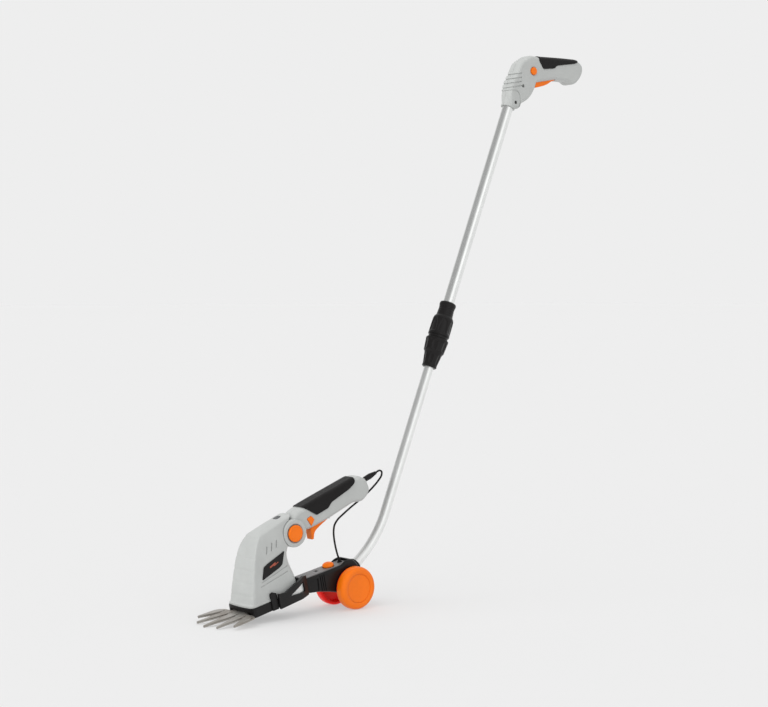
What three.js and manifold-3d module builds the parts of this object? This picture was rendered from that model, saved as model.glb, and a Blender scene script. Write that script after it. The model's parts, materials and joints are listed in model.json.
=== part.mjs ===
// Pole hedge trimmer: a cordless grass shear docked on a two-wheeled cart with a telescopic pole.
// Millimetres, +Z up, -Y towards the blades, +X to the tool's left. The ground is z = 0.
import * as THREE from "three";
import { mergeVertices } from "three/addons/utils/BufferGeometryUtils.js";
import Module from "manifold-3d";

const wasm = await Module();
wasm.setup();

// ---------------------------------------------------------------- driving dimensions
const CENTRE_Y = 137.6; // the origin lies this far behind the axle, under the middle of the whole tool
const TILT = 11.5; // degrees, how far the docked shear and the cart lean nose down
const GAP = 0.3; // clearance between neighbours that don't move against each other
const WALL = 2.2; // plastic shell wall
const SEAM = 0.15; // half of the parting gap between the two halves of a casing

const BLADE_REACH = 88; // blade pivot to the middle tooth's tip
const BLADE_PIVOT_Y = -200; // the pivot, measured from the axle
const TEETH = 5;
const TOOTH_SPACING = 21.5; // between the teeth's roots
const TOOTH_FAN = 8.2; // degrees between one tooth and the next
const TOOTH_FALL = 5.6; // the outer teeth are shorter by this times their number squared
const TOOTH_ROOT = -36; // the roots' place ahead of the pivot
const LOWER_BLADE = [0, 1.8]; // heights above the cutting plane, bottom and top
const UPPER_BLADE = [2.1, 3.7];
const GEAR_Y = 18; // crank gear axis behind the blade pivot
const GEAR_TEETH = 30;
const PINION_TEETH = 8;
const GEAR_SPACING = 19.7; // centre distance of the two gears
const CRANK_THROW = 2;

const HUB = [102, 102]; // handle hub behind and above the blade pivot
const HUB_RADIUS = 23;
const HUB_WIDTH = 22; // half width over the two cheeks
const TONGUE = 12; // half width of the head's tongue between the cheeks
const HANDLE_TILT = 10.5; // degrees, handle axis above the tool's own level
const HANDLE_WIDTH = 16.5; // half width of the grip

const WHEEL_RADIUS = 36;
const WHEEL_INNER = 20.6;
const WHEEL_OUTER = 40.6;
const AXLE_RADIUS = 4;
const CART_WIDTH = 19; // half width of the cart's casing
const CART_TOP = 18.5; // the top plate lies on this level
const SOCKET_RADIUS = 11.5; // collar round the foot of the pole
const CART_FRONT = 109;
const BUTTON_Y = 172; // cart button
const GLAND_Y = 197; // lead gland

const POLE_LEAN = 22.1; // degrees from upright
const POLE_START = [89.3, 155]; // y and z where the straight stretch of the pole begins
const BEND_RADIUS = 190;
const BEND_TURN = 30; // degrees
const BEND_STEPS = 8;
const LOWER_TUBE = 8.5; // outer radii of the two tubes
const UPPER_TUBE = 10;
const TUBE_WALL = 1.1;
const CLAMP_START = 266; // distances up the straight pole
const CLAMP_LENGTH = 122;
const NUT_LENGTH = 53;
const UPPER_START = 296; // lower end of the upper tube, inside the clamp
const LOWER_END = 440; // upper end of the lower tube, inside the upper tube
const TOP_HANDLE = 782.5; // reference point of the top handle
const TOP_WIDTH = 15; // half width of the top handle

const LEAD_RADIUS = 1.65;

const CURVE_STEPS = 2; // straight pieces in a rounded corner or rim

// ---------------------------------------------------------------- materials
const finish = (color, roughness, metalness = 0, extra = {}) =>
  new THREE.MeshStandardMaterial({ color, roughness, metalness, ...extra });
const LIGHT_GREY = finish(0xc9cbc6, 0.5);
const PLATE_GREY = finish(0x77787a, 0.5);
const BLACK = finish(0x1f1f20, 0.55);
const RUBBER = finish(0x262424, 0.85);
const ORANGE = finish(0xf5791a, 0.45);
const ALUMINIUM = finish(0xd4d5d3, 0.3, 1);
const STEEL = finish(0x9a9a9a, 0.35, 1);
const BLADE = finish(0xa9a39b, 0.4, 1);
const BRASS = finish(0xb08d45, 0.4, 1);
const CELL = finish(0x2f6f4f, 0.5);
const BOARD = finish(0x1e5a34, 0.6);
const WINDOW = finish(0x33383c, 0.2, 0, { transparent: true, opacity: 0.6 });

// ---------------------------------------------------------------- solids
const rad = THREE.MathUtils.degToRad;

function solid(geometry) {
  const bare = new THREE.BufferGeometry();
  bare.setAttribute("position", geometry.getAttribute("position").clone());
  if (geometry.index) bare.setIndex(geometry.index.clone());
  const merged = mergeVertices(bare, 1e-4);
  return new wasm.Manifold(
    new wasm.Mesh({
      numProp: 3,
      vertProperties: new Float32Array(merged.getAttribute("position").array),
      triVerts: new Uint32Array(merged.index.array),
    }),
  );
}

function geometryOf(body) {
  const mesh = body.getMesh();
  const geometry = new THREE.BufferGeometry();
  geometry.setAttribute("position", new THREE.BufferAttribute(mesh.vertProperties.slice(), 3));
  geometry.setIndex(new THREE.BufferAttribute(mesh.triVerts.slice(), 1));
  geometry.computeVertexNormals();
  return geometry;
}

const join = (...bodies) => bodies.reduce((all, one) => all.add(one));
const cut = (body, ...tools) => tools.reduce((left, tool) => left.subtract(tool), body);

function box(x, y, z) {
  const size = [x, y, z].map(([low, high]) => high - low);
  const middle = [x, y, z].map(([low, high]) => (high + low) / 2);
  return solid(new THREE.BoxGeometry(...size).translate(...middle));
}

// A round bar from point a to point b; radius may change to endRadius.
function bar(a, b, radius, sides = 24, endRadius = radius) {
  const from = new THREE.Vector3(...a);
  const along = new THREE.Vector3(...b).sub(from);
  const turn = new THREE.Quaternion().setFromUnitVectors(
    new THREE.Vector3(0, 1, 0),
    along.clone().normalize(),
  );
  const geometry = new THREE.CylinderGeometry(endRadius, radius, along.length(), sides);
  geometry.applyQuaternion(turn);
  return solid(geometry.translate(...from.addScaledVector(along, 0.5).toArray()));
}

const crossBar = (y, z, x0, x1, radius, sides) => bar([x0, y, z], [x1, y, z], radius, sides);
const upright = (x, y, z0, z1, radius, sides) => bar([x, y, z0], [x, y, z1], radius, sides);

// A profile of [radius, height] pairs turned about Z.
function turned(profile, sides = 24) {
  const points = profile.map(([radius, height]) => new THREE.Vector2(radius, height));
  return solid(new THREE.LatheGeometry(points, sides).rotateX(Math.PI / 2));
}

// Corners [y, z, radius] joined by straight edges, each corner rounded by its radius.
function outline(corners) {
  const path = new THREE.Path();
  const count = corners.length;
  corners.forEach(([y, z, radius = 0], i) => {
    const here = new THREE.Vector2(y, z);
    const toward = (j) => {
      const other = new THREE.Vector2(...corners[(j + count) % count].slice(0, 2)).sub(here);
      return here.clone().addScaledVector(other, Math.min(0.45, radius / other.length()));
    };
    const [enter, leave] = radius ? [toward(i - 1), toward(i + 1)] : [here, here];
    if (i === 0) path.moveTo(enter.x, enter.y);
    else path.lineTo(enter.x, enter.y);
    if (radius) path.quadraticCurveTo(here.x, here.y, leave.x, leave.y);
  });
  path.closePath();
  return path.getPoints(CURVE_STEPS);
}

// The corners moved outwards by a distance (inwards when it is negative), their rounding to match.
function grown(corners, distance) {
  const points = corners.map(([y, z]) => new THREE.Vector2(y, z));
  const side = THREE.ShapeUtils.isClockWise(points) ? 1 : -1;
  const count = corners.length;
  return corners.map(([y, z, radius = 0], i) => {
    const enter = points[i].clone().sub(points[(i + count - 1) % count]).normalize();
    const leave = points[(i + 1) % count].clone().sub(points[i]).normalize();
    const turn = -side * Math.atan2(enter.cross(leave), enter.dot(leave));
    const out = new THREE.Vector2(-enter.y - leave.y, enter.x + leave.x).normalize();
    const shift = (side * distance) / Math.cos(turn / 2);
    const rounding = Math.max(0, radius + distance * Math.tan(turn / 2));
    return [y + out.x * shift, z + out.y * shift, rounding];
  });
}

// A side profile extruded across the tool from x0 to x1, its rims rounded by edge.
function slab(corners, x0, x1, edge = 0, hole = null) {
  const shape = new THREE.Shape(outline(grown(corners, -edge)));
  if (hole) shape.holes = [new THREE.Path(outline(hole))];
  const geometry = new THREE.ExtrudeGeometry(shape, {
    depth: x1 - x0 - 2 * edge,
    bevelEnabled: edge > 0,
    bevelThickness: edge,
    bevelSize: edge,
    bevelSegments: CURVE_STEPS,
  });
  const axes = new THREE.Matrix4().set(0, 0, 1, x0 + edge, 1, 0, 0, 0, 0, 1, 0, 0, 0, 0, 0, 1);
  return solid(geometry.applyMatrix4(axes));
}

// A plan outline of [x, y] points extruded from z0 up to z1.
function plate(points, z0, z1, holes = []) {
  const shape = new THREE.Shape(points);
  shape.holes = holes.map((hole) => new THREE.Path(hole));
  const geometry = new THREE.ExtrudeGeometry(shape, { depth: z1 - z0, bevelEnabled: false });
  return solid(geometry.translate(0, 0, z0));
}

function circle(x, y, radius, sides = 20) {
  return Array.from({ length: sides }, (_, i) => {
    const angle = (2 * Math.PI * i) / sides;
    return new THREE.Vector2(x + radius * Math.cos(angle), y + radius * Math.sin(angle));
  });
}

// Rings of equal point counts joined into a closed skin, with a fan at each end.
function loft(rings) {
  const count = rings[0].length;
  const positions = rings.flat(2);
  const faces = [];
  for (let k = 0; k + 1 < rings.length; k++)
    for (let i = 0; i < count; i++) {
      const [a, b] = [k * count + i, k * count + ((i + 1) % count)];
      faces.push(a, b, b + count, a, b + count, a + count);
    }
  const last = (rings.length - 1) * count;
  for (let i = 1; i + 1 < count; i++) faces.push(0, i + 1, i, last, last + i, last + i + 1);
  const geometry = new THREE.BufferGeometry();
  geometry.setAttribute("position", new THREE.Float32BufferAttribute(positions, 3));
  geometry.setIndex(faces);
  return solid(geometry);
}

const leftHalf = (body) => body.subtract(box([-90, SEAM], [-400, 400], [-400, 400]));
const rightHalf = (body) => body.subtract(box([-SEAM, 90], [-400, 400], [-400, 400]));
const mirrored = (body) => body.mirror([1, 0, 0]);

// ---------------------------------------------------------------- assembly groups
const trimmer = new THREE.Group();
const world = new THREE.Group(); // origin on the ground under the axle
const tool = new THREE.Group(); // origin at the blade pivot, level with the cutting plane
const handle = new THREE.Group(); // origin at the hub, +Y along the shear's handle
const pole = new THREE.Group(); // +Z up the pole from the start of its straight stretch
const topHandle = new THREE.Group(); // upright, origin on the pole's axis
world.position.y = -CENTRE_Y;
tool.position.set(0, BLADE_PIVOT_Y, BLADE_REACH * Math.sin(rad(TILT)));
tool.rotation.x = rad(TILT);
handle.position.set(0, ...HUB);
handle.rotation.x = rad(HANDLE_TILT);
pole.position.set(0, ...POLE_START);
pole.rotation.x = -rad(POLE_LEAN);
topHandle.position.set(
  0,
  POLE_START[0] + TOP_HANDLE * Math.sin(rad(POLE_LEAN)),
  POLE_START[1] + TOP_HANDLE * Math.cos(rad(POLE_LEAN)),
);
trimmer.add(world);
world.add(tool, pole, topHandle);
tool.add(handle);

function part(group, name, body, material) {
  const mesh = new THREE.Mesh(geometryOf(body), material);
  mesh.name = name;
  group.add(mesh);
}

// Left and right halves of one casing.
function halves(group, name, body, material) {
  part(group, name + "_left", leftHalf(body), material);
  part(group, name + "_right", rightHalf(body), material);
}

// ---------------------------------------------------------------- shear head
// Each level: height, front, rear, half width at the front and at the rear.
const HEAD_LEVELS = [
  [11, -13, 89, 33.5, 24],
  [34, -6, 87, 32.5, 24],
  [63, 3.2, 80, 29.5, 23],
  [81, 9.8, 83, 27.5, 22],
  [99, 18.5, 103, 24.5, 19],
  [112, 28, 108, 20.5, 17],
  [123, 53, 107, 17, 15],
  [132.4, 83, 104, 14, 13],
];

// A rounded ring at one level, moved inwards by inset.
function headRing([z, front, rear, wide, narrow], inset = 0) {
  const corner = 8;
  const corners = [
    [wide - inset, front + inset, corner],
    [narrow - inset, rear - inset, corner],
    [-narrow + inset, rear - inset, corner],
    [-wide + inset, front + inset, corner],
  ];
  return outline(corners).slice(0, -1).map((p) => [p.x, p.y, z]);
}

function headCasing() {
  const outer = loft(HEAD_LEVELS.map((level) => headRing(level)));
  const lowered = HEAD_LEVELS.map(([z, ...rest], i) => [i ? z - WALL : z - 1, ...rest]);
  const hollow = loft(lowered.map((level) => headRing(level, WALL)));
  const [y, z] = HUB;
  const cheekRoom = join(
    crossBar(y, z, TONGUE + GAP, 60, HUB_RADIUS + 1, 32),
    crossBar(y, z, -60, -TONGUE - GAP, HUB_RADIUS + 1, 32),
  );
  const neckRoom = slab([[y - 2, z], [y - 10, 160], [150, 160], [150, z - 14]], -40, 40).intersect(
    crossBar(y, z, -50, 50, 32, 32),
  );
  const tongue = join(
    crossBar(y, z, -TONGUE, TONGUE, 20, 32),
    box([-TONGUE, TONGUE], [74, 100], [86, 110]),
  );
  const bore = crossBar(y, z, -40, 40, 5.3);
  const windowHole = box([-9.3, 9.3], [77.7, 90.3], [100, 140]);
  return cut(join(cut(outer, hollow, cheekRoom, neckRoom), tongue), bore, windowHole);
}

function labelShape(inset) {
  const corners = [[17.2, 49], [25, 68.5], [32.5, 71.5], [73, 81.5], [64, 62], [57, 58.5]];
  return grown(corners.map((corner) => [...corner, 2]), -inset);
}

// A thin panel lying on the leaning side wall of the head.
function labelPanel() {
  const wallLean = HEAD_LEVELS.map((level) => headRing(level, -1.1));
  const outer = loft(wallLean);
  const inner = loft(HEAD_LEVELS.map((level) => headRing(level, -GAP)));
  return cut(outer, inner).intersect(slab(labelShape(0), 5, 60));
}

function buildHead() {
  halves(tool, "head_shell", headCasing(), LIGHT_GREY);
  part(tool, "label_panel_left", labelPanel(), BLACK);
  part(tool, "label_panel_right", mirrored(labelPanel()), BLACK);
  const lens = slab([[78, 124], [90, 127], [90, 134, 2], [78, 132, 2]], -9, 9);
  part(tool, "charge_window", lens, WINDOW);
}

// ---------------------------------------------------------------- base and blades
function baseRim() {
  const rim = headRing([0, -16, 91, 36.5, 26.5]).map(([x, y]) => new THREE.Vector2(x, y));
  const body = plate(rim, 6, 10.7);
  const skirt = plate(rim, -4.6, 6.1).intersect(
    join(
      box([24, 60], [-20, 95], [-5, 7]),
      box([-60, -24], [-20, 95], [-5, 7]),
      box([-60, 60], [-20, -9], [4.4, 7]),
    ),
  );
  const lug = slab([[25, -4.6], [37, -4.6], [37, 22, 2], [30, 25.5, 3], [25, 24, 3]], 30.2, 35.4, 0.8);
  const room = upright(0, GEAR_Y, 0, 12, 10);
  const bolt = upright(0, 0, 0, 12, 3.3);
  return cut(join(body, skirt, lug, mirrored(lug)), room, bolt);
}

// A tooth's outline from its left root corner round its tip; index 0 is the middle tooth.
function tooth(index, halfRoot, rootY) {
  const length = BLADE_REACH + rootY - TOOTH_FALL * index * index;
  const turn = rad(TOOTH_FAN * index);
  const across = new THREE.Vector2(Math.cos(turn), Math.sin(turn));
  const ahead = new THREE.Vector2(Math.sin(turn), -Math.cos(turn));
  const shank = [halfRoot - 1.2, 12 - 2 * Math.abs(index)];
  const half = [[halfRoot, 0], shank, [1.3, length]];
  const corners = [...half.map(([side, along]) => [-side, along]), ...half.reverse()];
  return corners.map(([side, along]) =>
    new THREE.Vector2(TOOTH_SPACING * index, rootY)
      .addScaledVector(across, side)
      .addScaledVector(ahead, along),
  );
}

function bladePlan(halfRoot, rootY, wing, rearY) {
  const points = [];
  const most = (TEETH - 1) / 2;
  for (let k = -most; k <= most; k++) points.push(...tooth(k, halfRoot, rootY));
  const rear = [[wing, rearY - 4], [wing - 8, rearY], [20, rearY + 1], [17, 12], [11, 27]];
  const mirrorRear = rear.map(([x, y]) => [-x, y]).reverse();
  return [...points, ...[...rear, ...mirrorRear].map(([x, y]) => new THREE.Vector2(x, y))];
}

function buildBlades() {
  const pivotHole = circle(0, 0, 3.3);
  const lower = bladePlan(9.3, TOOTH_ROOT, 49, -17);
  part(tool, "lower_blade", plate(lower, ...LOWER_BLADE, [pivotHole]), BLADE);
  const yoke = circle(0, GEAR_Y, 6.4);
  const upper = bladePlan(8, TOOTH_ROOT + 2, 46, -21);
  part(tool, "upper_blade", plate(upper, ...UPPER_BLADE, [pivotHole, yoke]), BLADE);
  const coverPlan = [[-22, 26], [-22, -17], [22, -17], [22, 26]].map(([x, y]) => new THREE.Vector2(x, y));
  part(tool, "blade_cover", plate(coverPlan, -2, -GAP, [pivotHole]), BLACK);
  const bolt = join(upright(0, 0, -4.2, -2.3, 6, 6), upright(0, 0, -2.4, 11.5, 3, 16));
  part(tool, "blade_pivot_bolt", bolt, STEEL);
  part(tool, "base_rim", baseRim(), BLACK);
}

// ---------------------------------------------------------------- drive
function gearPlan(teeth, pitchRadius, firstAngle) {
  const points = [];
  const step = (2 * Math.PI) / teeth;
  for (let k = 0; k < teeth; k++)
    for (const [turn, radius] of [[-0.3, -0.8], [-0.12, 0.7], [0.12, 0.7], [0.3, -0.8]]) {
      const angle = firstAngle + (k + turn) * step;
      points.push(new THREE.Vector2(Math.cos(angle), Math.sin(angle)).multiplyScalar(pitchRadius + radius));
    }
  return points;
}

function buildDrive() {
  const motorY = GEAR_Y + GEAR_SPACING;
  const gear = plate(gearPlan(GEAR_TEETH, 15, Math.PI / 2), 12, 16, [circle(0, 0, 2.3)]);
  const crank = upright(CRANK_THROW, 0, 2.1, 12.2, 1.8, 12);
  const crankDisc = upright(0, 0, 7, 12.2, 7).subtract(upright(0, 0, 6, 13, 2.3));
  const crankGear = join(gear, crankDisc, cut(crank, upright(0, 0, 6, 13, 2.3)));
  part(tool, "crank_gear", crankGear.translate([0, GEAR_Y, 0]), STEEL);
  part(tool, "gear_stud", upright(0, GEAR_Y, 7.5, 19.4, 2), STEEL);
  const pinionPlan = gearPlan(PINION_TEETH, 4, Math.PI / PINION_TEETH - Math.PI / 2);
  const pinion = plate(pinionPlan, 12, 19, [circle(0, 0, 1.2, 12)]);
  part(tool, "motor_pinion", pinion.translate([0, motorY, 0]), BRASS);
  const frame = box([-16, 16], [6, 56], [19.7, 22.2]);
  part(tool, "gear_plate", cut(frame, upright(0, motorY, 15, 25, 5)), STEEL);
  const can = join(upright(0, motorY, 22.5, 66, 13.5, 28), upright(0, motorY, 65, 69, 5));
  const shaft = join(upright(0, motorY, 12, 23, 1), upright(0, motorY, 20, 23, 4.5));
  part(tool, "drive_motor", join(can, shaft), STEEL);
}

// ---------------------------------------------------------------- shear handle
const HANDLE_CORNERS = [
  [7, 24, 3],
  [22, 29.5, 12],
  [60, 29.5, 20],
  [150, 27.5, 12],
  [163, 26, 6],
  [175, 13, 5],
  [175.5, -6, 6],
  [167, -14, 5],
  [152, -18.5, 6],
  [141, -13.5, 4],
  [133, -11.5, 6],
  [80, -13, 8],
  [36, -11, 3],
  [20, -8, 2],
  [4, 0],
];

const CELL_LENGTH = 50;
const TRIGGER_PIVOT = [79, -12];
const SHEAR_TRIGGER_WIDTH = 7.5; // half widths of the two triggers
const TOP_TRIGGER_WIDTH = 10.5;
const SLOT_ROOM = 0.6; // between a trigger and its slot
const PIN_REACH = 12.5; // half length of both triggers' pins
const PLUG = [180, 207]; // both ends of the plug's body along the handle
const PLUG_HEIGHT = 9; // its axis above the handle's, in line with the cells

function handleCasing() {
  const line = HANDLE_CORNERS;
  const cheek = crossBar(0, 0, -HUB_WIDTH, HUB_WIDTH, HUB_RADIUS, 36);
  const hollow = slab(grown(line, -WALL), -HANDLE_WIDTH + WALL, HANDLE_WIDTH - WALL, 5).intersect(
    box([-40, 40], [28, 173], [-40, 40]),
  );
  const tongueRoom = crossBar(0, 0, -TONGUE - GAP, TONGUE + GAP, 21.5, 32);
  const tongueWay = slab(
    [[-40, -40], [14, -40], [9, -19], [4, 0], [6, 21], [5, 40], [-40, 40]],
    -TONGUE - GAP,
    TONGUE + GAP,
  );
  const recess = join(
    crossBar(0, 0, 18, 40, 14.4, 32),
    crossBar(0, 0, -40, -18, 14.4, 32),
    crossBar(0, 0, -40, 40, 5.4),
  );
  const room = SHEAR_TRIGGER_WIDTH + SLOT_ROOM;
  const triggerSlot = box([-room, room], [34, 82], [-30, -5]);
  const lockHole = slab(lockShape(0.4), -40, 40);
  const socketHole = bar([0, 160, PLUG_HEIGHT], [0, 190, PLUG_HEIGHT], 5.4);
  const pinHole = crossBar(...TRIGGER_PIVOT, -PIN_REACH - GAP, PIN_REACH + GAP, 1.5, 12);
  return cut(
    join(slab(line, -HANDLE_WIDTH, HANDLE_WIDTH, 7), cheek),
    hollow, tongueRoom, tongueWay, recess, triggerSlot, lockHole, socketHole, pinHole,
  );
}

function lockShape(clearance) {
  return grown([[33.5, 9, 1], [43, 10, 1], [47, 2, 1], [37.5, -5.5, 1]], clearance);
}

function gripOverlay() {
  const line = HANDLE_CORNERS;
  const outer = slab(grown(line, 1.5), -HANDLE_WIDTH - 1.5, HANDLE_WIDTH + 1.5, 8);
  const inner = slab(grown(line, GAP), -HANDLE_WIDTH - GAP, HANDLE_WIDTH + GAP, 7.2);
  const region = [
    [29, 36], [54, 6.5, 2], [80, 6.5, 3], [90, 12.5, 3],
    [131, 16, 3], [146, 20, 5], [152, 30, 4], [153, 36],
  ];
  return cut(outer, inner).intersect(slab(region, -40, 40));
}

function buildHandle() {
  halves(handle, "handle_shell", handleCasing(), LIGHT_GREY);
  part(handle, "handle_grip", gripOverlay(), RUBBER);
  for (const [side, x] of [["left", 1], ["right", -1]]) {
    const button = bar([20.8 * x, 0, 0], [24.5 * x, 0, 0], 14, 32, 13);
    part(handle, "pivot_button_" + side, button, ORANGE);
  }
  part(handle, "hub_axle", crossBar(0, 0, -17.2, 17.2, 5), STEEL);
  part(handle, "battery_cell_front", bar([0, 52, 9], [0, 52 + CELL_LENGTH, 9], 9), CELL);
  part(handle, "battery_cell_rear", bar([0, 103, 9], [0, 103 + CELL_LENGTH, 9], 9), CELL);
  part(handle, "switch_board", box([-8, 8], [50, 96], [20.5, 22]), BOARD);
  part(handle, "trigger_switch", box([-3.5, 3.5], [52, 66], [-5.5, -0.8]), BLACK);
  const socket = cut(
    bar([0, 155, PLUG_HEIGHT], [0, 175, PLUG_HEIGHT], 5),
    bar([0, 160, PLUG_HEIGHT], [0, 180, PLUG_HEIGHT], 3),
  );
  part(handle, "lead_socket", socket, BLACK);
  const overmould = join(
    bar([0, PLUG[0], PLUG_HEIGHT], [0, PLUG[0] + 12, PLUG_HEIGHT], 4.6, 20, 5),
    bar([0, PLUG[0] + 12, PLUG_HEIGHT], [0, PLUG[1], PLUG_HEIGHT], 4.6, 20, 2.6),
  );
  part(handle, "plug_body", overmould, BLACK);
  part(handle, "plug_barrel", bar([0, 162, PLUG_HEIGHT], [0, PLUG[0] - GAP, PLUG_HEIGHT], 2.7, 20), STEEL);
  part(handle, "shear_lock_button", slab(lockShape(0), -18.5, 18.5, 0.6), ORANGE);
  part(handle, "shear_trigger", shearTrigger(), ORANGE);
  part(handle, "trigger_pin", crossBar(...TRIGGER_PIVOT, -PIN_REACH, PIN_REACH, 1.2, 12), STEEL);
}

function shearTrigger() {
  const corners = [
    [81, -10, 1.5], [79, -14.5, 1.5], [60, -18, 6], [46, -22, 6], [40, -33, 2],
    [36.5, -32, 1], [39, -18, 4], [40, -12.5, 1], [60, -9, 2], [76, -9.2, 1],
  ];
  const pin = crossBar(...TRIGGER_PIVOT, -20, 20, 1.5, 12);
  return slab(corners, -SHEAR_TRIGGER_WIDTH, SHEAR_TRIGGER_WIDTH, 0.8).subtract(pin);
}

// ---------------------------------------------------------------- cart
const FORK_START = 37.5; // front end of the arms
const COLLAR = [103, 108.6]; // front and rear of the collar that joins them

// The two arms follow the head's sides and meet in the collar behind it.
function dockingFork() {
  const side = [
    [FORK_START, -5], [COLLAR[1], -5], [COLLAR[1], 28], [100, 30, 2], [88, 27.5, 6], [55, 17.8, 4],
    [42, 19.5, 2], [FORK_START, 21, 1],
  ];
  const opening = [[66.5, 9], [98.5, 6.5, 1], [97, 18.5, 1]];
  const outer = [[39.5, FORK_START], [32.3, 88], [22.5, COLLAR[1]]];
  const inner = [[17, COLLAR[1]], [27.8, 86], [35.8, FORK_START]];
  const plan = [...outer, ...inner].map(([x, y]) => new THREE.Vector2(x, y));
  const arm = slab(side, 0, 45, 0, opening).intersect(plate(plan, -10, 40));
  const disc = bar([0, COLLAR[0], 9], [0, COLLAR[1], 9], 24, 32);
  const collar = disc.intersect(box([-20.5, 20.5], COLLAR, [-5, 28]));
  return join(arm, mirrored(arm), collar);
}

const CART_CORNERS = [
  [CART_FRONT, CART_TOP, 1],
  [187, 20, 3],
  [200, 25.5, 7],
  [214, 24, 9],
  [224, 8, 14],
  [222, -10, 14],
  [213, -27, 12],
  [197, -32, 14],
  [178, -26, 14],
  [156, -17, 6],
  [134, -10, 8],
  [CART_FRONT, -5, 1],
];

// A place in the world group as [y, z] in the tool group.
function toTool(y, z) {
  const place = new THREE.Vector2(y, z).sub(new THREE.Vector2(tool.position.y, tool.position.z));
  return place.rotateAround(new THREE.Vector2(), -rad(TILT)).toArray();
}

// A place along the pole's straight foot, in the tool group; 0 is the tube's end.
function footPlace(distance) {
  const [end, bend] = lowerRoute();
  const place = end.clone().add(bend.clone().sub(end).setLength(distance));
  return [0, ...toTool(place.y, place.z)];
}

function cartCasing() {
  const line = CART_CORNERS;
  const outer = slab(line, -CART_WIDTH, CART_WIDTH, 2.5);
  const hollow = slab(grown(line, -WALL), -CART_WIDTH + WALL, CART_WIDTH - WALL, 1);
  const plateRoom = box([-13.8, 13.8], [CART_FRONT - 5, 206.3], [CART_TOP, 60]);
  const axleHole = crossBar(...toTool(0, WHEEL_RADIUS), -60, 60, AXLE_RADIUS + GAP, 16);
  const socketHole = bar(footPlace(4), footPlace(60), SOCKET_RADIUS + GAP);
  const buttonHole = upright(0, BUTTON_Y, 0, 60, 8.5);
  const glandHole = upright(0, GLAND_Y, 8, 60, 3.6);
  return cut(outer, hollow, plateRoom, axleHole, socketHole, buttonHole, glandHole);
}

function wheel() {
  const width = WHEEL_OUTER - WHEEL_INNER;
  const R = WHEEL_RADIUS;
  const profile = [
    [AXLE_RADIUS + GAP, 1], [9, 1], [9, 13], [R - 6, 12], [R - 5, 0], [R - 1.5, 1], [R, 4],
    [R, 13], [R - 1.6, 17.4], [R - 6, width], [R - 12, width], [R - 12, 17],
    [AXLE_RADIUS + GAP, 17], [AXLE_RADIUS + GAP, 1],
  ];
  return turned(profile, 32).rotate([0, 90, 0]).translate([WHEEL_INNER, 0, WHEEL_RADIUS]);
}

function wheelCap() {
  const profile = [[0, 17.3], [23.5, 17.3], [23.5, 18.4], [22.6, 19.1], [0, 19.1]];
  return turned(profile, 24).rotate([0, 90, 0]).translate([WHEEL_INNER, 0, WHEEL_RADIUS]);
}

function buildCart() {
  halves(tool, "cart_shell", cartCasing(), BLACK);
  part(tool, "docking_fork", dockingFork(), BLACK);
  const cover = cut(
    box([-13.5, 13.5], [CART_FRONT, 206], [CART_TOP + GAP, 20.8]),
    upright(0, BUTTON_Y, 0, 60, 10.4, 32),
    upright(0, GLAND_Y, 0, 60, 3.4),
    box([-4, 4], [142.5, 148.5], [10, 30]),
  );
  part(tool, "cart_top_plate", cover, PLATE_GREY);
  const dome = turned([[0, -6], [8, -6], [8, 1], [9.9, 1], [9.9, 2.5], [8.4, 5], [5, 6.8], [0, 7.6]]);
  part(tool, "cart_button", dome.translate([0, BUTTON_Y, 20.8]), ORANGE);
  const gland = join(upright(0, GLAND_Y, 12, 23.6, 3), upright(0, GLAND_Y, 21.1, 22.4, 4.2));
  part(tool, "lead_gland", gland, BLACK);
  const foot = cut(
    bar(footPlace(5), footPlace(25), SOCKET_RADIUS, 24, SOCKET_RADIUS - 0.8),
    bar(footPlace(0), footPlace(40), LOWER_TUBE + GAP),
  );
  part(tool, "pole_socket", foot, BLACK);
  part(world, "axle", crossBar(0, WHEEL_RADIUS, -37.4, 37.4, AXLE_RADIUS), STEEL);
  part(world, "wheel_left", wheel(), ORANGE);
  part(world, "wheel_right", mirrored(wheel()), ORANGE);
  part(world, "wheel_cap_left", wheelCap(), ORANGE);
  part(world, "wheel_cap_right", mirrored(wheelCap()), ORANGE);
}

// ---------------------------------------------------------------- pole
function annulus(radius, wall, sides = 20) {
  const shape = new THREE.Shape(circle(0, 0, radius, sides));
  shape.holes = [new THREE.Path(circle(0, 0, radius - wall, sides).reverse())];
  return shape;
}

// The lower tube's centre line: foot, bend and straight stretch, in the world group's frame.
function lowerRoute() {
  const lean = rad(POLE_LEAN);
  const centre = [
    POLE_START[0] - BEND_RADIUS * Math.cos(lean),
    POLE_START[1] + BEND_RADIUS * Math.sin(lean),
  ];
  const at = (angle) => [
    centre[0] + BEND_RADIUS * Math.cos(angle),
    centre[1] + BEND_RADIUS * Math.sin(angle),
  ];
  const turn = rad(BEND_TURN);
  const end = at(-lean - turn);
  const foot = [end[0] - 33 * Math.sin(lean + turn), end[1] - 33 * Math.cos(lean + turn)];
  const points = [foot];
  for (let k = BEND_STEPS; k >= 0; k--) points.push(at(-lean - (turn * k) / BEND_STEPS));
  points.push([
    POLE_START[0] + LOWER_END * Math.sin(lean),
    POLE_START[1] + LOWER_END * Math.cos(lean),
  ]);
  return points.map(([y, z]) => new THREE.Vector3(0, y, z));
}

// A polyline whose stretches are all sampled, so straight stretches stay straight.
class Polyline extends THREE.Curve {
  constructor(points) {
    super();
    this.points = points;
  }
  getPoint(t, target = new THREE.Vector3()) {
    const scaled = t * (this.points.length - 1);
    const i = Math.min(Math.floor(scaled), this.points.length - 2);
    return target.lerpVectors(this.points[i], this.points[i + 1], scaled - i);
  }
  getPointAt(u, target) {
    return this.getPoint(u, target);
  }
}

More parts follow.
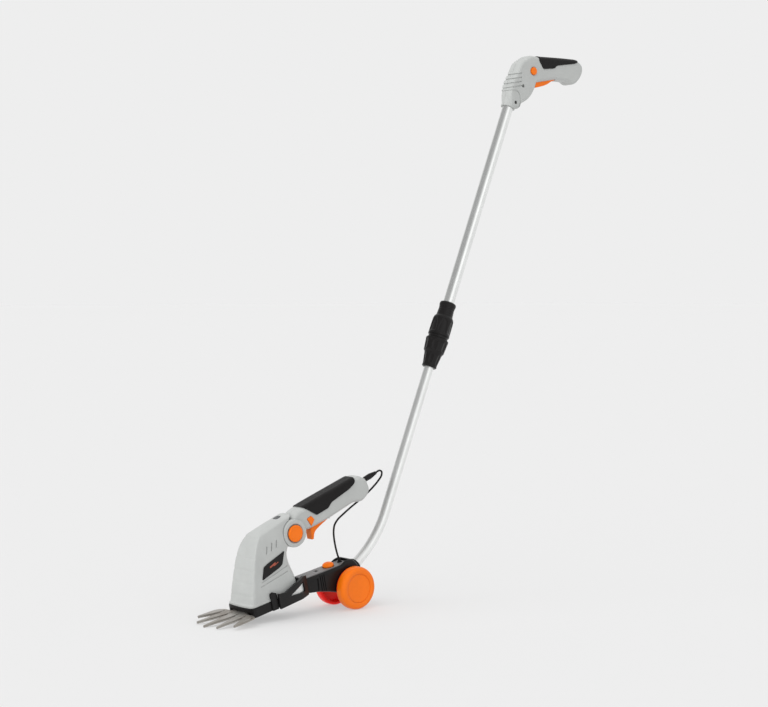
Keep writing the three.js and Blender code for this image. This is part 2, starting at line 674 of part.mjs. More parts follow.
function lowerTube() {
  const route = new Polyline(lowerRoute());
  const steps = route.points.length - 1;
  return solid(
    new THREE.ExtrudeGeometry(annulus(LOWER_TUBE, TUBE_WALL), { steps, extrudePath: route }),
  );
}

function straightTube(from, to, radius, wall) {
  const geometry = new THREE.ExtrudeGeometry(annulus(radius, wall, 24), {
    depth: to - from,
    bevelEnabled: false,
  });
  return solid(geometry.translate(0, 0, from));
}

function buildPole() {
  part(world, "lower_tube", lowerTube(), ALUMINIUM);
  const top = TOP_HANDLE + 20;
  part(pole, "upper_tube", straightTube(UPPER_START, top, UPPER_TUBE, TUBE_WALL), ALUMINIUM);
  const stop = cut(upright(0, 0, LOWER_END + GAP, LOWER_END + 12, 8.6, 28), upright(0, 0, 400, 500, 6));
  part(pole, "tube_stop", stop, BLACK);
  const split = CLAMP_START + NUT_LENGTH;
  const end = CLAMP_START + CLAMP_LENGTH;
  const bore = UPPER_TUBE + GAP;
  const sleeve = [
    [bore, split + 0.4], [17.5, split + 0.4], [17.5, split + 6], [19.3, split + 6.5], [18.6, end - 30],
    [14.9, end - 24], [13.6, end - 1.5], [12.4, end], [bore, end], [bore, split + 0.4],
  ];
  part(pole, "clamp_sleeve", turned(sleeve), BLACK);
  const nut = [
    [9.4, CLAMP_START], [12.2, CLAMP_START], [13.3, CLAMP_START + 1.5], [16, CLAMP_START + 27],
    [18.6, CLAMP_START + 30], [20.4, split], [14.3, split],
    [14.3, UPPER_START - 5], [9.4, UPPER_START - 12], [9.4, CLAMP_START],
  ];
  part(pole, "clamp_nut", turned(nut), BLACK);
  const collet = [
    [UPPER_TUBE + 0.35, UPPER_START - 3], [13.8, UPPER_START - 3],
    [13.8, split], [UPPER_TUBE + 0.35, split], [UPPER_TUBE + 0.35, UPPER_START - 3],
  ];
  part(pole, "clamp_collet", turned(collet), PLATE_GREY);
}

// ---------------------------------------------------------------- lead
// The charging lead's centre line from the gland in the cart up to the plug, as [x, y, z].
const LEAD_ROUTE = [
  [0, -11.8, 80.6],
  [0, -14.9, 88.4],
  [0, -18.6, 99.4],
  [0, -22, 113.4],
  [-0.8, -23.2, 128.4],
  [-3, -19.5, 140.4],
  [-5.5, -10, 149.4],
  [-8, 2, 155.9],
  [-9.8, 14, 162.4],
  [-10.4, 26, 169.2],
  [-10.5, 38, 176],
  [-10.3, 49.5, 183.2],
  [-9.6, 61, 191.2],
  [-8, 71.5, 200.4],
  [-5.5, 79.2, 209.6],
  [-3.2, 83.3, 217.2],
  [-1.2, 82.2, 224.4],
  [-0.2, 75.8, 226.8],
  [0, 68.6, 224],
];
const LEAD_STEPS = 36;

function buildLead() {
  const route = new THREE.CatmullRomCurve3(LEAD_ROUTE.map((point) => new THREE.Vector3(...point)));
  const section = new THREE.Shape(circle(0, 0, LEAD_RADIUS, 8));
  const tube = new THREE.ExtrudeGeometry(section, { steps: LEAD_STEPS, extrudePath: route });
  part(world, "lead", solid(tube), BLACK);
}

// ---------------------------------------------------------------- top handle
const TOP_CORNERS = [
  [-10, -9, 3],
  [-12, 14, 8],
  [-5, 37, 6],
  [5.5, 53, 8],
  [17, 74, 6],
  [42, 88, 5],
  [64, 86.5, 8],
  [120, 88.5, 20],
  [163, 89, 8],
  [177, 82, 8],
  [179.5, 69, 8],
  [172, 55, 8],
  [160, 44.5, 6],
  [149, 42, 5],
  [139, 48, 6],
  [104, 47.5, 3],
  [57, 38.5, 2],
  [53.5, 29, 4],
  [44, 13.5, 10],
  [33, 4.5, 10],
  [19, -2, 2],
  [13, -13, 2],
  [1, -12, 2],
];
const TOP_TRIGGER_PIVOT = [104, 50];
const TOP_LOCK = [47, 59];

// Points of the pole's axis seen from the top handle's frame.
const alongPole = (distance) => [
  0,
  distance * Math.sin(rad(POLE_LEAN)),
  distance * Math.cos(rad(POLE_LEAN)),
];

function topCasing() {
  const line = TOP_CORNERS;
  const hollow = slab(grown(line, -WALL), -TOP_WIDTH + WALL, TOP_WIDTH - WALL, 4);
  const saddle = bar(alongPole(-4), alongPole(26), UPPER_TUBE + WALL);
  const tubeHole = bar(alongPole(-40), alongPole(24), UPPER_TUBE + GAP);
  const collar = bar(alongPole(-8), alongPole(12), UPPER_TUBE + 2.6);
  const room = TOP_TRIGGER_WIDTH + SLOT_ROOM;
  const triggerSlot = box([-room, room], [54, 108.5], [28, 55]);
  const lockHole = crossBar(...TOP_LOCK, -40, 40, 7.4, 28);
  const screws = TOP_SCREWS.flatMap(([y, z, seat, tip]) => [
    crossBar(y, z, seat, 40, 3.2, 16),
    crossBar(y, z, tip - GAP, seat + 1, 1.3, 12),
  ]);
  const pinHole = crossBar(...TOP_TRIGGER_PIVOT, -PIN_REACH - GAP, PIN_REACH + GAP, 1.5, 12);
  const bosses = TOP_SCREWS.map(([y, z]) => crossBar(y, z, -TOP_WIDTH, TOP_WIDTH, 5, 16));
  const body = join(cut(slab(line, -TOP_WIDTH, TOP_WIDTH, 6), hollow), saddle, ...bosses);
  const inside = slab(line, -TOP_WIDTH, TOP_WIDTH, 6);
  return cut(join(body.intersect(inside), collar), tubeHole, triggerSlot, lockHole, pinHole, ...screws);
}

// Each screw: y and z, then where its head sits and where it ends, across the handle.
const TOP_SCREWS = [
  [21, 30, 4, -9],
  [3, -1, 11.4, 10.5],
];

function topGrip() {
  const line = TOP_CORNERS;
  const outer = slab(grown(line, 1.4), -TOP_WIDTH - 1.4, TOP_WIDTH + 1.4, 7);
  const inner = slab(grown(line, GAP), -TOP_WIDTH - GAP, TOP_WIDTH + GAP, 6.2);
  const region = [
    [63, 100], [61, 80, 2], [72, 65, 2], [100, 68, 2],
    [107, 74, 3], [152, 81, 2], [162, 84, 4], [165, 100],
  ];
  return cut(outer, inner).intersect(slab(region, -40, 40));
}

function buildTopHandle() {
  halves(topHandle, "top_shell", topCasing(), LIGHT_GREY);
  part(topHandle, "top_grip", topGrip(), RUBBER);
  const corners = [
    [107, 53, 1.5], [105.8, 46.8, 2], [97, 44.3, 2], [88, 38.5, 6], [76, 34.5, 6],
    [58, 30, 2], [55.5, 31.5, 1.5], [55.5, 38, 1], [62, 44, 1], [84, 47.5, 2], [97, 52.5, 2],
  ];
  const pin = crossBar(...TOP_TRIGGER_PIVOT, -20, 20, 1.5, 12);
  const trigger = slab(corners, -TOP_TRIGGER_WIDTH, TOP_TRIGGER_WIDTH, 0.8).subtract(pin);
  part(topHandle, "top_trigger", trigger, ORANGE);
  const topPin = crossBar(...TOP_TRIGGER_PIVOT, -PIN_REACH, PIN_REACH, 1.2, 12);
  part(topHandle, "top_trigger_pin", topPin, STEEL);
  part(topHandle, "top_switch", box([-3.5, 3.5], [72, 86], [50, 56]), BLACK);
  part(topHandle, "top_lock_button", crossBar(...TOP_LOCK, -17.5, 17.5, 7, 28), ORANGE);
  TOP_SCREWS.forEach(([y, z, seat, tip], i) => {
    const head = crossBar(y, z, seat + GAP, seat + 2.3, 2.3, 12);
    const screw = join(head, crossBar(y, z, tip, seat + 0.4, 1, 8));
    part(topHandle, "top_screw_" + (i + 1), screw, STEEL);
  });
}

buildHead();
buildBlades();
buildDrive();
buildHandle();
buildCart();
buildPole();
buildLead();
buildTopHandle();

export default trimmer;
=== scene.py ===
"""The looks of the pole hedge trimmer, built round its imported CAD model.

Shapes are drawn in millimetres in the frame of the assembly they belong to, and piece() moves them to
the row frame.
"""

import json
import math

import bmesh
import bpy
from mathutils import Matrix, Vector


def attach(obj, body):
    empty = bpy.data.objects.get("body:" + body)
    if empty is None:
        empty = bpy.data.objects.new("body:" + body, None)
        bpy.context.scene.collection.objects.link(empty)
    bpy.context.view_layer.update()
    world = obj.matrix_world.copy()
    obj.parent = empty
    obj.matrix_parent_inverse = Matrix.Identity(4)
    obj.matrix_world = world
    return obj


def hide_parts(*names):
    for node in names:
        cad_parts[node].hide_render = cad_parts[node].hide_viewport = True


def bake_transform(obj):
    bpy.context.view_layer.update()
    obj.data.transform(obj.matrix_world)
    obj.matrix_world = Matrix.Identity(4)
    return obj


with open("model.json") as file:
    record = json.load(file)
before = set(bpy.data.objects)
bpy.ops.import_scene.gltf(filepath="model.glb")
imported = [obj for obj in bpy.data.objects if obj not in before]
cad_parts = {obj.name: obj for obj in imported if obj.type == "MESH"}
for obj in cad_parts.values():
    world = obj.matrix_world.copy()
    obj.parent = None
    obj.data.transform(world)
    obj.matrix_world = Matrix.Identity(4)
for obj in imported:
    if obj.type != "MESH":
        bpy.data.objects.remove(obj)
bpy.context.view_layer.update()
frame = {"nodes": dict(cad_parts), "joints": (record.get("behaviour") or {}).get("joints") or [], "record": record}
JOINTS = {joint["name"]: joint for joint in frame["joints"]}

# ---------------------------------------------------------------- frames
MM = Matrix.Scale(0.001, 4)
BLADE_LEVEL = 0.003  # the blade's joint sits this far above the cutting plane
CLAMP_PLACE = 0.290  # the clamp's joint, up the straight stretch of the pole
HANDLE_TURN = 10.5  # degrees from the tool's level to the shear handle's axis
TRIGGER_PLACE = Vector((0, 0.104, 0.050))  # the upper trigger's joint in the top handle
MIRROR = Matrix.Scale(-1, 4, (1, 0, 0))


def joint_place(name):
    return Vector(JOINTS[name]["pos_m"])


def turned_about_x(place, degrees):
    return Matrix.Translation(place) @ Matrix.Rotation(math.radians(degrees), 4, "X")


BLADE_AXIS = Vector(JOINTS["blade_swing"]["axis"])
POLE_AXIS = Vector(JOINTS["pole_extend"]["axis"])
TILT = math.degrees(math.atan2(-BLADE_AXIS.y, BLADE_AXIS.z))
LEAN = math.degrees(math.atan2(POLE_AXIS.y, POLE_AXIS.z))
AXLE_Y = joint_place("wheel_left_spin").y

TOOL = turned_about_x(joint_place("blade_swing") - BLADE_LEVEL * BLADE_AXIS, TILT) @ MM
HANDLE = turned_about_x(joint_place("handle_tilt"), TILT + HANDLE_TURN) @ MM
POLE = turned_about_x(joint_place("clamp_twist") - CLAMP_PLACE * POLE_AXIS, -LEAN) @ MM
TOP = Matrix.Translation(joint_place("top_trigger_pull") - TRIGGER_PLACE) @ MM
WORLD = Matrix.Translation((0, AXLE_Y, 0)) @ MM

# ---------------------------------------------------------------- camera, light and floor
CAMERA_AZIMUTH = 51.6965  # degrees round the axle from the blades' side
CAMERA_DISTANCE = 2.8801
CAMERA_HEIGHT = 0.5347
CAMERA_TURN = -1.3276
CAMERA_PITCH = -2.0768
CAMERA_LENS = 79.88


def make_camera():
    data = bpy.data.cameras.new("camera")
    data.lens = CAMERA_LENS
    data.sensor_width = 36
    camera = bpy.data.objects.new("camera", data)
    azimuth = math.radians(CAMERA_AZIMUTH)
    camera.location = (
        CAMERA_DISTANCE * math.sin(azimuth),
        AXLE_Y - CAMERA_DISTANCE * math.cos(azimuth),
        CAMERA_HEIGHT,
    )
    pitch = math.radians(90 + CAMERA_PITCH)
    camera.rotation_euler = (pitch, 0, math.radians(CAMERA_AZIMUTH + CAMERA_TURN))
    bpy.context.scene.collection.objects.link(camera)
    bpy.context.scene.camera = camera


def sun(name, azimuth, elevation, strength, angle):
    """A soft lamp far away; azimuth 0 shines from the blades' side, 90 from +X."""
    data = bpy.data.lights.new(name, "SUN")
    data.energy = strength
    data.angle = math.radians(angle)
    lamp = bpy.data.objects.new(name, data)
    a, e = math.radians(azimuth), math.radians(elevation)
    towards = Vector((math.sin(a) * math.cos(e), -math.cos(a) * math.cos(e), math.sin(e)))
    lamp.rotation_euler = towards.to_track_quat("Z", "Y").to_euler()
    lamp.visible_glossy = False
    bpy.context.scene.collection.objects.link(lamp)


ROOM_LEVEL = 0.855
FLOOR_TONE = 0.415
FLOOR_GLOW = 0.378  # keeps the floor pale far from the lamps
FLOOR_HALF = 60
# Direction, the cosines where a patch begins and where it is full, and its level.
ROOM_PATCHES = [
    ((-0.25, -0.95, 0.17), 0.1, 0.75, 0.34),
    ((0.97, -0.15, 0.17), 0.88, 0.97, 1.25),
]


def light_world(tree):
    """A pale room with a dim side in front of the tool and a bright panel to its left."""
    direction = tree.nodes.new("ShaderNodeTexCoord").outputs["Generated"]
    level = ROOM_LEVEL
    for towards, low, high, target in ROOM_PATCHES:
        facing = tree.nodes.new("ShaderNodeVectorMath")
        facing.operation = "DOT_PRODUCT"
        tree.links.new(direction, facing.inputs[0])
        facing.inputs[1].default_value = towards
        step = tree.nodes.new("ShaderNodeMapRange")
        step.interpolation_type = "SMOOTHSTEP"
        tree.links.new(facing.outputs["Value"], step.inputs["Value"])
        step.inputs["From Min"].default_value = low
        step.inputs["From Max"].default_value = high
        mix = tree.nodes.new("ShaderNodeMix")
        tree.links.new(step.outputs["Result"], mix.inputs["Factor"])
        first, second = [socket for socket in mix.inputs if socket.type == "VALUE"][-2:]
        if isinstance(level, float):
            first.default_value = level
        else:
            tree.links.new(level, first)
        second.default_value = target
        level = next(socket for socket in mix.outputs if socket.type == "VALUE")
    tree.links.new(level, tree.nodes["Background"].inputs["Color"])


def make_studio():
    scene = bpy.context.scene
    scene.view_settings.view_transform = "Standard"
    world = bpy.data.worlds.new("studio")
    world.use_nodes = True
    light_world(world.node_tree)
    scene.world = world
    sun("key", 2, 26, 2.5, 80)
    sun("rim", 215, 50, 0.35, 60)

    paint = bpy.data.materials.new("floor_paint")
    paint.use_nodes = True
    shader = paint.node_tree.nodes["Principled BSDF"]
    shader.inputs["Base Color"].default_value = (FLOOR_TONE, FLOOR_TONE, FLOOR_TONE, 1)
    shader.inputs["Emission Color"].default_value = (1, 1, 1, 1)
    shader.inputs["Emission Strength"].default_value = FLOOR_GLOW
    shader.inputs["Roughness"].default_value = 1.0
    shader.inputs["Specular IOR Level"].default_value = 0.0
    corners = [(x * FLOOR_HALF, y * FLOOR_HALF, 0) for x, y in ((-1, -1), (1, -1), (1, 1), (-1, 1))]
    mesh = bpy.data.meshes.new("floor")
    mesh.from_pydata(corners, [], [(0, 1, 2, 3)])
    mesh.materials.append(paint)
    floor = bpy.data.objects.new("floor", mesh)
    scene.collection.objects.link(floor)


make_camera()
make_studio()


# ---------------------------------------------------------------- materials
class Nodes:
    """A material's node tree, with short names for what this script uses."""

    def __init__(self, name):
        self.material = bpy.data.materials.new(name)
        self.material.use_nodes = True
        self.tree = self.material.node_tree
        self.shader = self.tree.nodes["Principled BSDF"]
        self.place = self.tree.nodes.new("ShaderNodeTexCoord").outputs["Object"]

    def link(self, source, target):
        self.tree.links.new(source, target)

    def turned(self, degrees, scale):
        """The object's coordinates turned about X, then scaled."""
        turn = self.tree.nodes.new("ShaderNodeMapping")
        turn.inputs["Rotation"].default_value = (math.radians(degrees), 0, 0)
        self.link(self.place, turn.inputs["Vector"])
        stretch = self.tree.nodes.new("ShaderNodeMapping")
        stretch.inputs["Scale"].default_value = scale
        self.link(turn.outputs["Vector"], stretch.inputs["Vector"])
        return stretch.outputs["Vector"]

    def noise(self, scale, detail=3.0, rough=0.55, place=None):
        node = self.tree.nodes.new("ShaderNodeTexNoise")
        node.inputs["Scale"].default_value = scale
        node.inputs["Detail"].default_value = detail
        node.inputs["Roughness"].default_value = rough
        self.link(place or self.place, node.inputs["Vector"])
        return node.outputs["Fac"]

    def cells(self, scale):
        node = self.tree.nodes.new("ShaderNodeTexVoronoi")
        node.inputs["Scale"].default_value = scale
        self.link(self.place, node.inputs["Vector"])
        return node.outputs["Distance"]

    def span(self, value, low, high, to_low, to_high):
        node = self.tree.nodes.new("ShaderNodeMapRange")
        self.link(value, node.inputs["Value"])
        for key, number in (
            ("From Min", low),
            ("From Max", high),
            ("To Min", to_low),
            ("To Max", to_high),
        ):
            node.inputs[key].default_value = number
        return node.outputs["Result"]

    def mix(self, share, first, second):
        """first where share is 0 and second where it is 1; each is a colour or a socket."""
        node = self.tree.nodes.new("ShaderNodeMix")
        node.data_type = "RGBA"
        self.link(share, node.inputs["Factor"])
        for key, colour in (("A", first), ("B", second)):
            socket = next(s for s in node.inputs if s.name == key and s.type == "RGBA")
            if isinstance(colour, tuple):
                socket.default_value = (*colour, 1)
            else:
                self.link(colour, socket)
        return next(s for s in node.outputs if s.type == "RGBA")

    def bump(self, height, depth_mm, strength=1.0, under=None):
        node = self.tree.nodes.new("ShaderNodeBump")
        node.inputs["Distance"].default_value = depth_mm * 0.001
        node.inputs["Strength"].default_value = strength
        self.link(height, node.inputs["Height"])
        if under:
            self.link(under, node.inputs["Normal"])
        return node.outputs["Normal"]

    def set(self, key, value):
        socket = self.shader.inputs[key]
        if isinstance(value, (int, float)):
            socket.default_value = value
        elif isinstance(value, tuple):
            socket.default_value = (*value, 1)
        else:
            self.link(value, socket)


def shade(colour, factor):
    return tuple(min(1.0, channel * factor) for channel in colour)


MOULD_GRAIN = 0.012  # mm, the depth of the spark-eroded texture


def moulded(name, colour, roughness, grain=2600, mottle=0.05, scuff=0.05, level=0.5):
    """Moulded plastic: fine eroded grain, slight mottling, and rubbed patches, glossier and lighter."""
    n = Nodes(name)
    cloud = n.span(n.noise(45, 4), 0.35, 0.65, 0, 1)
    base = n.mix(cloud, shade(colour, 1 - mottle), shade(colour, 1 + mottle))
    rubbed = n.span(n.noise(160, 6, 0.7), 0.56, 0.7, 0, 1)
    n.set("Base Color", n.mix(n.span(rubbed, 0, 1, 0, scuff), base, shade(colour, 1.5)))
    n.set("Roughness", n.span(rubbed, 0, 1, roughness, roughness * 0.82))
    fine = n.bump(n.noise(grain, 2), MOULD_GRAIN, 0.6)
    n.set("Normal", n.bump(n.noise(260, 3), MOULD_GRAIN * 3, 0.25, fine))
    n.set("Specular IOR Level", level)
    return n.material


def rubber(name, colour):
    """Soft overmould: pebbled, dull, with a dusty sheen."""
    n = Nodes(name)
    dust = n.span(n.noise(70, 5), 0.4, 0.7, 0, 0.5)
    n.set("Base Color", n.mix(dust, colour, shade(colour, 1.7)))
    n.set("Roughness", n.span(n.noise(300, 3), 0.3, 0.7, 0.42, 0.58))
    n.set("Normal", n.bump(n.cells(1500), 0.03, 0.5))
    n.set("Specular IOR Level", 0.2)
    return n.material


def drawn_tube(name, colour, roughness):
    """Anodised tube: faint draw lines along the pole and small handling marks."""
    n = Nodes(name)
    lines = n.noise(1.0, 3, 0.6, n.turned(LEAN, (900, 900, 9)))
    cloud = n.span(n.noise(30, 3), 0.35, 0.65, 0, 1)
    n.set("Base Color", n.mix(cloud, shade(colour, 0.97), shade(colour, 1.02)))
    n.set("Metallic", 0.92)
    n.set("Roughness", n.span(lines, 0.3, 0.7, roughness, roughness + 0.08))
    marks = n.span(n.noise(220, 5, 0.7), 0.66, 0.72, 0, 1)
    n.set("Normal", n.bump(marks, 0.02, 0.15, n.bump(lines, 0.006, 0.4)))
    return n.material


TARNISH = (0.24, 0.19, 0.145)


def ground_steel(name, colour, roughness, stain=0.35):
    """Ground steel: fine lines across the tool and brownish tarnish in clouds, up to stain."""
    n = Nodes(name)
    lines = n.noise(1.0, 4, 0.7, n.turned(0, (60, 1600, 1600)))
    tarnish = n.span(n.noise(38, 5, 0.6), 0.42, 0.68, 0, stain)
    polished = n.mix(n.span(lines, 0.3, 0.7, 0, 1), shade(colour, 0.86), shade(colour, 1.12))
    n.set("Base Color", n.mix(tarnish, polished, TARNISH))
    n.set("Metallic", 0.85)
    n.set("Roughness", n.span(tarnish, 0, stain, roughness, roughness + 0.18))
    n.set("Normal", n.bump(lines, 0.012, 0.6))
    return n.material


def wheel_with_painted_shade(name, outer, inner, border):
    """Wheel plastic: outer beyond border, in metres from the middle plane, and inner towards the cart; the inner
    colour is painted shade, a deep red standing in for the shade on the wheel's inner face.
    """
    n = Nodes(name)
    parts = n.tree.nodes.new("ShaderNodeSeparateXYZ")
    n.link(n.place, parts.inputs["Vector"])
    side = n.tree.nodes.new("ShaderNodeMath")
    side.operation = "ABSOLUTE"
    n.link(parts.outputs["X"], side.inputs[0])
    facing = n.span(side.outputs["Value"], border - 0.001, border + 0.001, 0, 1)
    cloud = n.span(n.noise(40, 4), 0.35, 0.65, 0, 0.12)
    base = n.mix(cloud, outer, shade(outer, 0.8))
    n.set("Base Color", n.mix(facing, inner, base))
    scuffs = n.span(n.noise(420, 6, 0.7), 0.58, 0.7, 0, 1)
    n.set("Roughness", n.span(scuffs, 0, 1, 0.36, 0.52))
    n.set("Specular IOR Level", 0.25)
    fine = n.bump(n.noise(2200, 2), 0.01, 0.5)
    n.set("Normal", n.bump(scuffs, 0.02, 0.2, fine))
    return n.material


def smoked(name, colour):
    """Dark see-through plastic over the charge lamp."""
    n = Nodes(name)
    n.set("Base Color", n.mix(n.span(n.noise(90, 3), 0.3, 0.7, 0, 1), colour, shade(colour, 1.3)))
    n.set("Roughness", n.span(n.noise(500, 4), 0.3, 0.7, 0.08, 0.16))
    n.set("Transmission Weight", 0.25)
    n.set("Normal", n.bump(n.noise(300, 2), 0.01, 0.3))
    return n.material


GREY = (0.455, 0.468, 0.457)
BLACK = (0.0085, 0.0078, 0.0078)
ORANGE = (0.90, 0.180, 0.004)
LOOKS = {
    "shell_grey": moulded("grey_plastic", GREY, 0.42, mottle=0.025, scuff=0.04),
    "plate_grey": moulded("plate_plastic", (0.17, 0.165, 0.165), 0.4),
    "black_plastic": moulded("black_plastic", BLACK, 0.34, mottle=0.12, scuff=0.03, level=0.22),
    "grip_rubber": rubber("grip_rubber", (0.0055, 0.0048, 0.0048)),
    "orange": moulded("orange_plastic", ORANGE, 0.34, mottle=0.04, scuff=0.02, level=0.25),
    "tube": drawn_tube("tube_metal", (0.84, 0.85, 0.84), 0.2),
    "steel": ground_steel("bright_steel", (0.55, 0.55, 0.54), 0.3, 0.1),
    "blade": ground_steel("blade_steel", (0.42, 0.40, 0.37), 0.36),
    "brass": ground_steel("brass", (0.60, 0.44, 0.18), 0.3, 0.15),
    "cell": moulded("cell_wrap", (0.03, 0.16, 0.10), 0.3, grain=900),
    "board": moulded("board", (0.015, 0.10, 0.035), 0.5, grain=700),
    "window": smoked("smoked_window", (0.05, 0.055, 0.06)),
}
LOWER_TUBE_LOOK = drawn_tube("lower_tube_metal", (0.86, 0.87, 0.86), 0.34)
SCREW_LOOK = ground_steel("blackened_steel", (0.05, 0.05, 0.05), 0.4, 0.1)
# Painted light: the pale panels that close the fork's openings from the inside, so that the openings read bright
# where light shows through.
PAINTED_LIGHT_LOOK = moulded("painted_light_panel", (0.8, 0.81, 0.8), 0.45)
MARK_LOOK = moulded("label_print", (0.36, 0.07, 0.035), 0.4)
# Painted shade: deep red on the wheels' inner faces stands in for the shade there; it reaches further out on the
# far wheel, the right one, than on the near one.
WHEEL_SHADE_RED = (1.0, 0.012, 0.006)
WHEEL_LOOKS = {
    "left": wheel_with_painted_shade("wheel_plastic_painted_shade_left", ORANGE, WHEEL_SHADE_RED, 0.0245),
    "right": wheel_with_painted_shade("wheel_plastic_painted_shade_right", ORANGE, WHEEL_SHADE_RED, 0.0340),
}


# ---------------------------------------------------------------- meshes
def mesh_object(points, faces):
    mesh = bpy.data.meshes.new("solid")
    mesh.from_pydata([tuple(p) for p in points], [], faces)
    obj = bpy.data.objects.new("solid", mesh)
    bpy.context.scene.collection.objects.link(obj)
    return cleaned(obj)


WELD = 1e-3  # mm


def cleaned(obj):
    """The same solid with its doubled points welded and its faces turned out."""
    work = bmesh.new()
    work.from_mesh(obj.data)
    bmesh.ops.remove_doubles(work, verts=work.verts, dist=WELD)
    bmesh.ops.recalc_face_normals(work, faces=work.faces)
    if work.calc_volume(signed=True) < 0:
        bmesh.ops.reverse_faces(work, faces=work.faces)
    work.to_mesh(obj.data)
    work.free()
    return obj


def stacked(rings):
    """Rings of equal point counts joined into a closed skin, with a flat face at each end."""
    count = len(rings[0])
    faces = []
    for k in range(len(rings) - 1):
        for i in range(count):
            a, b = k * count + i, k * count + (i + 1) % count
            faces.append((a, b, b + count, a + count))
    last = (len(rings) - 1) * count
    faces.append(tuple(reversed(range(count))))
    faces.append(tuple(range(last, last + count)))
    return mesh_object([p for ring in rings for p in ring], faces)


def lathe(profile, sides=64, axis="Z"):
    """A closed profile of (radius, height) turned about an axis."""
    points, faces, count = [], [], len(profile)
    for k in range(sides):
        turn = 2 * math.pi * k / sides
        points += [(r * math.cos(turn), r * math.sin(turn), h) for r, h in profile]
        for i in range(count):
            a, b = k * count + i, k * count + (i + 1) % count
            c, d = (k + 1) % sides * count + (i + 1) % count, (k + 1) % sides * count + i
            faces.append((a, b, c, d))
    obj = mesh_object(points, faces)
    if axis == "X":
        obj.data.transform(Matrix.Rotation(math.radians(90), 4, "Y"))
    if axis == "Y":
        obj.data.transform(Matrix.Rotation(math.radians(-90), 4, "X"))
    return obj


def moved(obj, x=0, y=0, z=0):
    obj.data.transform(Matrix.Translation((x, y, z)))
    return obj


def bar(a, b, radius, end_radius=None, sides=48):
    """A round bar from a to b."""
    start, end = Vector(a), Vector(b)
    turn = (end - start).to_track_quat("Z", "Y")
    rings = []
    for place, size in ((start, radius), (end, radius if end_radius is None else end_radius)):
        angles = [2 * math.pi * k / sides for k in range(sides)]
        ring = [turn @ Vector((size * math.cos(t), size * math.sin(t), 0)) for t in angles]
        rings.append([place + p for p in ring])
    return stacked(rings)


def cross_bar(y, z, x0, x1, radius, sides=48):
    return bar((x0, y, z), (x1, y, z), radius, sides=sides)


def upright(x, y, z0, z1, radius, sides=48):
    return bar((x, y, z0), (x, y, z1), radius, sides=sides)


def box(x, y, z):
    corners = [(x[0], y[0]), (x[1], y[0]), (x[1], y[1]), (x[0], y[1])]
    return stacked([[(*corner, level) for corner in corners] for level in z])


def rounded(corners, steps=6):
    """Corners (a, b, radius) joined by straight edges and rounded, each with steps + 1 points."""
    points = []
    for i, (a, b, *rest) in enumerate(corners):
        here = Vector((a, b))
        radius = rest[0] if rest else 0
        ends = []
        for j in (i - 1, (i + 1) % len(corners)):
            other = Vector(corners[j][:2]) - here
            ends.append(here + other * min(0.45, radius / other.length))
        for k in range(steps + 1):
            t = k / steps
            points.append(ends[0] * (1 - t) ** 2 + here * 2 * t * (1 - t) + ends[1] * t * t)
    return points


def grown(corners, distance):
    """The corners moved outwards by a distance, or inwards when it is negative."""
    points = [Vector(corner[:2]) for corner in corners]
    count = len(points)
    area = sum(points[i - 1].cross(points[i]) for i in range(count))
    side = 1 if area < 0 else -1
    result = []
    for i, (a, b, *rest) in enumerate(corners):
        enter = (points[i] - points[i - 1]).normalized()
        leave = (points[(i + 1) % count] - points[i]).normalized()
        turn = -side * math.atan2(enter.cross(leave), enter.dot(leave))
        out = Vector((-enter.y - leave.y, enter.x + leave.x)).normalized()
        shift = out * side * distance / math.cos(turn / 2)
        radius = max(0, (rest[0] if rest else 0) + distance * math.tan(turn / 2))
        result.append((a + shift.x, b + shift.y, radius))
    return result


def rim_curve(edge, depth, steps):
    """How far in from the face, and how far in from the outline, at each step of a rounded rim."""
    turns = [math.pi / 2 * k / steps for k in range(steps + 1)]
    return [(depth * (1 - math.cos(t)), edge * (1 - math.sin(t))) for t in turns]


def slab(corners, x0, x1, edge=0, depth=None, start=None, steps=6, rim=6):
    """A side profile from x0 to x1 across the tool, its rims rounded, or the near one cut by start."""
    curve = rim_curve(edge, edge if depth is None else depth, rim) if edge else [(0, 0)]
    near = [(x0 + back, inset) for back, inset in curve]
    if start is not None:
        near = [(x0, start), (x0 + start, 0)]
    far = [(x1 - back, inset) for back, inset in curve]
    rings = []
    for x, inset in near + far[::-1]:
        rings.append([(x, p.x, p.y) for p in rounded(grown(corners, -inset), steps)])
    return stacked(rings)


def plan(corners, z0, z1, edge=0, steps=6, rim=3):
    """A plan outline of (x, y, radius) corners from z0 up to z1, with rounded rims."""
    curve = rim_curve(edge, edge, rim) if edge else [(0, 0)]
    low = [(z0 + back, inset) for back, inset in curve]
    high = [(z1 - back, inset) for back, inset in curve]
    rings = []
    for z, inset in low + high[::-1]:
        rings.append([(p.x, p.y, z) for p in rounded(grown(corners, -inset), steps)])
    return stacked(rings)


def rim_corners(wide, narrow, front, rear, corner):
    """A tapered plan outline: half width at the front and at the rear."""
    return [(x, y, corner) for x, y in ((wide, front), (narrow, rear), (-narrow, rear), (-wide, front))]


def apply_modifiers(obj):
    graph = bpy.context.evaluated_depsgraph_get()
    mesh = bpy.data.meshes.new_from_object(obj.evaluated_get(graph))
    obj.modifiers.clear()
    obj.data = mesh


def combined(base, operation, tools):
    """base with each tool cut away, joined on or kept in common. The tools are used up."""
    for tool in tools:
        step = base.modifiers.new("step", "BOOLEAN")
        step.operation = operation
        step.solver = "EXACT"
        step.object = tool
        apply_modifiers(base)
        bpy.data.objects.remove(tool)
    return cleaned(base)


def cut(base, *tools):
    return combined(base, "DIFFERENCE", tools)


def joined(base, *tools):
    return combined(base, "UNION", tools)


def common(base, *tools):
    return combined(base, "INTERSECT", tools)


def copied(obj):
    twin = obj.copy()
    twin.data = obj.data.copy()
    bpy.context.scene.collection.objects.link(twin)
    return twin


def mirrored(obj):
    obj.data.transform(MIRROR)
    obj.data.flip_normals()
    return obj


SIDES = (("left", lambda obj: obj), ("right", mirrored))


